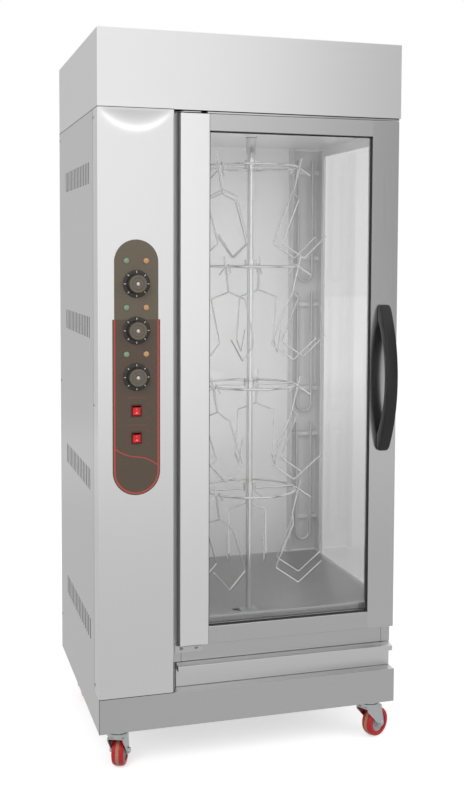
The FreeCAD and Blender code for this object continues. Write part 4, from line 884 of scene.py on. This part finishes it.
# Meat hooks: twelve hooks of bent stainless wire, each of two wires and a stub welded at the neck.
# One wire crooks over the ring, and both run down, spread, and turn up into two prongs.
def rounded(points):
    """A path through points with its corners bent as wire is, to a radius."""
    bend_mm = 6.0
    bend_steps = 4
    path = [points[0]]
    for before, corner, after in zip(points, points[1:], points[2:]):
        back = (before - corner).normalized()
        ahead = (after - corner).normalized()
        most = 0.45 * min((before - corner).length, (after - corner).length)
        cut = min(bend_mm * MM / math.tan(back.angle(ahead) / 2), most)
        start, end = corner + back * cut, corner + ahead * cut
        for share in (step / bend_steps for step in range(bend_steps + 1)):
            path.append((1 - share) ** 2 * start + 2 * share * (1 - share) * corner + share ** 2 * end)
    return path + [points[-1]]


# The wire passes over the corner of the ring's square bar in the solids, with a little play.
wire_mm = 2.0
bar_half_diagonal_mm = 4.4 * math.sqrt(0.5)
play_mm = 0.7
grip_mm = bar_half_diagonal_mm + play_mm + wire_mm
weld_overlap_mm = 0.2
neck_y_mm = wire_mm * math.cos(math.radians(30)) - weld_overlap_mm
# The neck lies back from the crook and below it, the sides run further back, and the prongs turn up.
neck_back_mm = 23
neck_drop_mm = 64.5
shoulder_drop_mm = 19
half_width_mm = 52
side_back_mm = 63
knee_rise_mm = 47.5
heel_ahead_mm = 54.5
heel_gap_mm = 48
tip_ahead_mm = 68
tip_rise_mm = 49.5
tier_pitch_mm = (tier_levels[0] - tier_levels[-1]) / 3 / MM
neck_x_mm = grip_mm - neck_back_mm
side_x_mm = neck_x_mm - side_back_mm
heel_x_mm = side_x_mm + heel_ahead_mm
heel_z_mm = heel_gap_mm - tier_pitch_mm
arch_steps = 8
hang = Matrix.Rotation(math.radians(-8.5), 4, "Y")


def prong(side):
    """The lower run of one wire, from the neck to the tip of its prong."""
    spread = (
        (neck_x_mm, -neck_drop_mm - shoulder_drop_mm),
        (side_x_mm, heel_z_mm + knee_rise_mm),
        (heel_x_mm, heel_z_mm),
        (heel_x_mm + tip_ahead_mm, heel_z_mm + tip_rise_mm),
    )
    return [(neck_x_mm, side * neck_y_mm, -neck_drop_mm)] + [(x, side * half_width_mm, z) for x, z in spread]


turns = [math.pi * step / arch_steps for step in range(arch_steps + 1)]
arch = [(-grip_mm * math.cos(turn), neck_y_mm, grip_mm * math.sin(turn)) for turn in turns]
crook_end = (-grip_mm - 13, neck_y_mm, -14)
spike_end = (grip_mm + 12.6, -neck_y_mm, 24)
stub_end = (grip_mm + 32, 0, -27)
lines = ([crook_end, *arch, *prong(1)], [spike_end, *prong(-1)], [(grip_mm + wire_mm, 0, 0), stub_end])
wires = [rounded([Vector(point) * MM for point in line]) for line in lines]
hook_mesh = tube(wires, wire_mm, "hook", 8)
hook_mesh.transform(hang)
for hook in (f"hook_{tier}_{letter}" for tier in TIERS for letter in "abc"):
    swing = joints[f"{hook}_swing"]
    along = Vector(swing["axis"])
    turn = Matrix.Rotation(math.atan2(along.x, -along.y), 4, "Z")
    mesh = hook_mesh.copy()
    mesh.transform(Matrix.Translation(swing["pos_m"]) @ turn)
    fit(f"{hook}_wire", mesh, polished_steel, hook, "spit_steel", hook)

# Drip tray: a folded stainless bin behind a front plate with a pull lip whose ends are capped, which
# slides in on the plinth under the sill.
tray_steel = brushed_steel("stainless_tray", "#E5E5E5", "x", 0.3)
folded("drip_tray", tray_steel, 1.0)
tray_low, tray_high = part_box("drip_tray")
sheet = 1.5 * MM
lip_fall = 4 * MM
lip_back = tray_low.y + 24 * MM
nose_y = tray_low.y + sheet
nose_foot = tray_high.z - lip_fall - 13 * MM
cap_outline = [(lip_back, tray_high.z - sheet), (nose_y, tray_high.z - lip_fall - sheet), (nose_y, nose_foot),
               (lip_back, nose_foot)]
caps = bmesh.new()
for sides in ((tray_low.x, tray_low.x + sheet), (tray_high.x, tray_high.x - sheet)):
    skin(caps, [[caps.verts.new((x, y, z)) for y, z in cap_outline] for x in sides], capped=True)
fit("tray_lip_caps", finished(caps, "tray_lip_caps"), tray_steel, "drip_tray", "stainless_steel")

# Top hood: an inverted box folded from one brushed stainless sheet.
# It is set over the drive and closes the cabinet's head.
hood_steel = brushed_steel("stainless_hood", "#F0F0F0", "x", 0.3)
folded("top_hood", hood_steel, 2.0)

# Cable gland: a gland moulded in black plastic for the supply lead.
# Its thread is clamped in a hole of the back panel.
folded("cable_gland", moulded_black, 1.0, "black_plastic")


# Joint shade lines: thin dark strips of painted shade where the hood, column, plinth, panel and sill meet, and
# above the head trim, standing for the shadow in those joints. They stand a trace proud.
def block(work, low, high):
    """Adds a box between two corners to a bmesh."""
    low, high = Vector(low), Vector(high)
    place = Matrix.Translation((low + high) / 2) @ Matrix.Diagonal((*(high - low), 1))
    bmesh.ops.create_cube(work, size=1.0, matrix=place)


# The painted shade is dark and dull, with a soft uneven skin.
seam_shade = mottled(
    "painted_seam_shade", "#4A4A49", "#3C3C3B", 3.0, {"IOR": 1.41}, relief_mm=0.1, rough=(0.5, 0.65)
)
column_low, column_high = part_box("control_column")
panel_low, panel_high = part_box("left_side_panel")
hood_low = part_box("top_hood")[0]
plinth_low, plinth_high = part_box("base_plinth")
frame_low, frame_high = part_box("front_frame")
bracket_low, bracket_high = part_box("hinge_brackets")
seam = 0.9 * MM
proud = 0.12 * MM
shade_lines = bmesh.new()
for level in (column_low.z, column_high.z):
    block(shade_lines, (column_low.x - proud, column_low.y - proud, level - seam),
          (column_high.x, column_low.y + seam, level + seam))
block(shade_lines, (column_low.x - proud, column_low.y - proud, column_high.z - seam),
      (column_low.x + seam, panel_high.y, column_high.z + seam))
block(shade_lines, (panel_low.x - proud, panel_low.y - seam / 2, panel_low.z),
      (panel_low.x + seam, panel_low.y + seam / 2, panel_high.z))
block(shade_lines, (plinth_low.x - proud, plinth_low.y - proud, plinth_low.z),
      (plinth_low.x + seam, plinth_low.y + seam, plinth_high.z))
sill_seam_head = bottom_rail_low.z + 20 * MM
sill_posts = (column_high.x + 26 * MM, frame_high.x - 24 * MM)
for post_x in sill_posts:
    block(shade_lines, (post_x - seam / 2, frame_low.y - proud, tray_high.z),
          (post_x + seam / 2, frame_low.y + seam, sill_seam_head))
trim_low = Vector((bracket_high.x + 2 * MM, hood_low.y + 1 * MM, top_rail_high.z + 0.8 * MM))
trim_high = Vector((handle_stile_high.x, hood_low.y + 8 * MM, hood_low.z - 2.4 * MM))
block(shade_lines, (trim_low.x, trim_low.y + 3 * MM, trim_high.z), (trim_high.x, trim_high.y, hood_low.z + 1 * MM))
fit("joint_shade_lines", finished(shade_lines, "joint_shade_lines"), seam_shade, "cabinet", "black_plastic")

# Head trim: a stainless strip under the hood, with painted shade above it, which closes most of the gap over the
# door.
# Its edges are rolled smooth.
trim = bmesh.new()
block(trim, trim_low, trim_high)
rolled = 0.4 * MM
bmesh.ops.bevel(trim, geom=trim.edges[:], offset=rolled, segments=2, profile=0.5, affect="EDGES")
fit("head_trim", finished(trim, "head_trim"), rail_steel, "cabinet", "stainless_steel")

# Panel screws: small zinc plated pan heads along the edges of the side and back panels and on the
# hinges, driven into the folds of the cabinet.
# Zinc on small screws is greyer than on the casters, with a fine grain.
screw_steel = mottled(
    "screw_zinc", "#A9AAAB", "#8D8E90", 1.0, {"Metallic": 1.0}, relief_mm=0.01, rough=(0.3, 0.4)
)
screw_sockets = {"Geometry": "Geometry", "Head Radius": "Float", "Facing": "Rotation", "Material": "Material"}
screw_tree, given = node_tree("screw_heads", screw_sockets)
dome_sizes = {"Segments": 14, "Rings": 8, "Radius": given["Head Radius"]}
dome = add_node(screw_tree, "GeometryNodeMeshUVSphere", dome_sizes)
head = add_node(screw_tree, "GeometryNodeTransform", {"Scale": (1, 1, 0.5), "Geometry": dome})
set_on(screw_tree, given["Geometry"], head, given["Material"], {"Rotation": given["Facing"]})
back_low, back_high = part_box("back_panel")
edge_inset = 14 * MM
lap_inset = 7 * MM
head_inset = 20 * MM
foot_inset = 18 * MM
side_levels = (panel_high.z - head_inset, (panel_low.z + panel_high.z) / 2, panel_low.z + foot_inset)
side_columns = (panel_low.y - lap_inset, panel_high.y - edge_inset)
back_levels = [back_low.z + share * (back_high.z - back_low.z) for share in (0.02, 0.34, 0.66, 0.98)]
back_columns = (back_low.x + edge_inset, (back_low.x + back_high.x) / 2, back_high.x - edge_inset)
hinge_columns = (bracket_low.x + 16 * MM, bracket_low.x + 54 * MM)
leg_face = frame_low.y - 3 * MM
leg_z = bracket_low.z + 11 * MM
square = math.pi / 2
for name, head_mm, turn, places in (
    ("side_screws", 3.6, (0, -square, 0), [(panel_low.x, y, z) for z in side_levels for y in side_columns]),
    ("back_screws", 3.6, (-square, 0, 0), [(x, back_high.y, z) for z in back_levels for x in back_columns]),
    ("hinge_screws", 4.6, (square, 0, 0), [(x, leg_face, leg_z) for x in hinge_columns]),
):
    points = bpy.data.meshes.new(name)
    points.from_pydata(places, [], [])
    sizes = {"Head Radius": head_mm * MM, "Facing": turn, "Material": screw_steel}
    heads = grown(screw_tree, sizes, name, points)
    heads.polygons.foreach_set("use_smooth", [True] * len(heads.polygons))
    fit(name, heads, screw_steel, "cabinet", "zinc_steel")

# Studio: a plain white floor and background, soft lamps, grey cards that only reflections see, and
# the camera at the photograph's place.
# The background is white to the eye, in metal and through glass, and lights the object less.
ambient_level = 0.62
world = bpy.data.worlds.new("studio")
bpy.context.scene.world = world
world.use_nodes = True
sky_tree = world.node_tree
sky_tree.nodes.clear()
path = add_node(sky_tree, "ShaderNodeLightPath").outputs
largest = {"operation": "MAXIMUM"}
seen = add_node(sky_tree, "ShaderNodeMath", {**largest, 0: path["Is Camera Ray"], 1: path["Is Glossy Ray"]})
seen = add_node(sky_tree, "ShaderNodeMath", {**largest, 0: seen, 1: path["Is Transmission Ray"]})
level = add_node(sky_tree, "ShaderNodeMapRange", {"To Min": ambient_level, "To Max": 1.0, "Value": seen})
sky = add_node(sky_tree, "ShaderNodeBackground", {"Color": (1, 1, 1, 1), "Strength": level})
add_node(sky_tree, "ShaderNodeOutputWorld", {"Surface": sky})

# The floor is lifted to white for the eye and keeps the shadow. Metal and glass see it as a grey that
# pales with distance.
floor_lift = 0.55
glass_lift = 0.14
floor_half = 30.0
floor_material, floor_tree = new_material("studio_floor")
path = add_node(floor_tree, "ShaderNodeLightPath").outputs
eye = {0: path["Is Camera Ray"], 1: path["Is Transmission Ray"]}
seen = add_node(floor_tree, "ShaderNodeMath", {**largest, **eye})
lift = add_node(floor_tree, "ShaderNodeMath", {"operation": "MULTIPLY", 0: seen, 1: floor_lift})
matt = {"Base Color": linear("#E0E0E0"), "Roughness": 1.0, "Specular IOR Level": 0.0}
lit = {"Emission Color": (1, 1, 1, 1), "Emission Strength": lift}
floor_shader = add_node(floor_tree, "ShaderNodeBsdfPrincipled", {**matt, **lit})
place = add_node(floor_tree, "ShaderNodeTexCoord").outputs["Object"]
away = add_node(floor_tree, "ShaderNodeVectorMath", {"operation": "LENGTH", 0: place}).outputs["Value"]
span = {"From Min": 2.5, "From Max": 9.0, "To Min": 0.58, "To Max": 0.95}
fall = add_node(floor_tree, "ShaderNodeMapRange", {**span, "Value": away})
paler = {"operation": "MULTIPLY_ADD", 0: path["Is Transmission Ray"], 1: glass_lift, 2: fall}
mirrored = add_node(
    floor_tree, "ShaderNodeEmission", {"Strength": add_node(floor_tree, "ShaderNodeMath", paler)}
)
sides = {0: path["Is Glossy Ray"], 1: floor_shader, 2: mirrored}
floor_mix = add_node(floor_tree, "ShaderNodeMixShader", sides)
add_node(floor_tree, "ShaderNodeOutputMaterial", {"Surface": floor_mix})


def sheet_mesh(name, corners):
    """A mesh of one four-sided face."""
    mesh = bpy.data.meshes.new(name)
    mesh.from_pydata(corners, [], [(0, 1, 2, 3)])
    return mesh


around = ((-1, -1), (1, -1), (1, 1), (-1, 1))
floor_mesh = sheet_mesh("studio_floor", [(x * floor_half, y * floor_half, 0) for x, y in around])
floor_mesh.materials.append(floor_material)
floor = placed("studio_floor", floor_mesh)


def reflector(name, mesh, grey=None):
    """Stands a card in the studio that only reflections see, of one grey or with a level at each point."""
    material, tree = new_material(name)
    if grey:
        looks = {"Color": (grey, grey, grey, 1), "Strength": 1.0}
    else:
        level = add_node(tree, "ShaderNodeAttribute", {"attribute_name": "level"})
        looks = {"Strength": level.outputs["Fac"]}
    glow = add_node(tree, "ShaderNodeEmission", looks)
    add_node(tree, "ShaderNodeOutputMaterial", {"Surface": glow})
    mesh.materials.append(material)
    card = placed(name, mesh)
    for sight in ("visible_camera", "visible_diffuse", "visible_transmission", "visible_shadow"):
        setattr(card, sight, False)


# Two upright grey flags darken what the right side and the back of the object mirror.
flag_middle = 2.5
flag_half = 3.0
for name, grey, (x, y), (half_x, half_y) in (
    ("flag_front_right", 0.42, (5.2, -5.2), (2.5, 1.7)),
    ("flag_back_left", 0.58, (-2.2, 5.0), (2.75, 0)),
):
    corners = [(x + side * half_x, y + side * half_y, flag_middle + end * flag_half) for side, end in around]
    reflector(name, sheet_mesh(name, corners), grey)

# A bowed card close to the head of the control column gives it its bright crescent, and its grey
# middle the shade above the crescent. Its glow rises from the chord to the rim.
card_radius = 107 * MM
card_rise = 62 * MM
card_centre = Vector((column_low.x + 96 * MM, column_low.y - 25 * MM, column_high.z + card_rise))
card_levels = [(0.0, 0.6), (0.5, 0.76), (0.8, 0.95), (0.98, 1.5), (1.02, 1.5), (1.2, 1.0)]
card_start = 218
card_sweep = 104
card = bmesh.new()
card_glow = card.verts.layers.float.new("level")
card_rows = []
for step in range(arc_steps + 1):
    turn = math.radians(card_start + card_sweep * step / arc_steps)
    spoke = Vector((math.cos(turn), 0, math.sin(turn)))
    chord = card_rise / -spoke.z
    spots = [card_centre + spoke * (chord + (card_radius - chord) * share) for share, level in card_levels]
    card_rows.append([card.verts.new(spot) for spot in spots])
    for vert, (share, level) in zip(card_rows[-1], card_levels):
        vert[card_glow] = level
for first, second in zip(card_rows, card_rows[1:]):
    for ring in range(len(card_levels) - 1):
        card.faces.new((first[ring], first[ring + 1], second[ring + 1], second[ring]))
reflector("arc_card", finished(card, "arc_card"))


def lamp(name, place, aim, width, height, power):
    """A soft box that points at a place, and that only lights: no view, reflection or pane shows it."""
    light = bpy.data.lights.new(name, "AREA")
    light.shape = "RECTANGLE"
    light.size = width
    light.size_y = height
    light.energy = power
    box = placed(name, light)
    box.location = place
    box.rotation_euler = (Vector(aim) - Vector(place)).to_track_quat("-Z", "Y").to_euler()
    for sight in ("visible_camera", "visible_glossy", "visible_transmission"):
        setattr(box, sight, False)


lamp("key_lamp", (-2.6, -3.6, 3.6), (0, 0, 0.9), 2.4, 2.4, 105)
lamp("fill_lamp", (3.2, -3.0, 2.6), (0, 0, 0.9), 2.4, 2.4, 45)
lamp("chamber_lamp", (0.09, -0.24, 1.02), (0.09, 0.3, 1.02), 0.42, 1.0, 1.5)

# The camera stands at the photograph's viewpoint; its lens is shifted to the photograph's framing.
camera_place = Vector((-0.8243, -2.8792, 1.2480))
yaw, pitch, roll = (math.radians(value) for value in (16.499, -3.591, 0.233))
ahead = Vector((math.sin(yaw) * math.cos(pitch), math.cos(yaw) * math.cos(pitch), math.sin(pitch)))
right = Vector((math.cos(yaw), -math.sin(yaw), 0))
up = right.cross(ahead)
turned_right = math.cos(roll) * right + math.sin(roll) * up
turned_up = math.cos(roll) * up - math.sin(roll) * right
lens = bpy.data.cameras.new("photo_camera")
lens.sensor_fit = "VERTICAL"
lens.sensor_height = 36.0
lens.lens = 50.26
lens.shift_x = -0.0008
lens.shift_y = -0.0918
camera = placed("photo_camera", lens)
camera_turn = Matrix((turned_right, turned_up, -ahead)).transposed().to_4x4()
camera.matrix_world = Matrix.Translation(camera_place) @ camera_turn
bpy.context.scene.camera = camera
bpy.context.scene.view_settings.view_transform = "Standard"
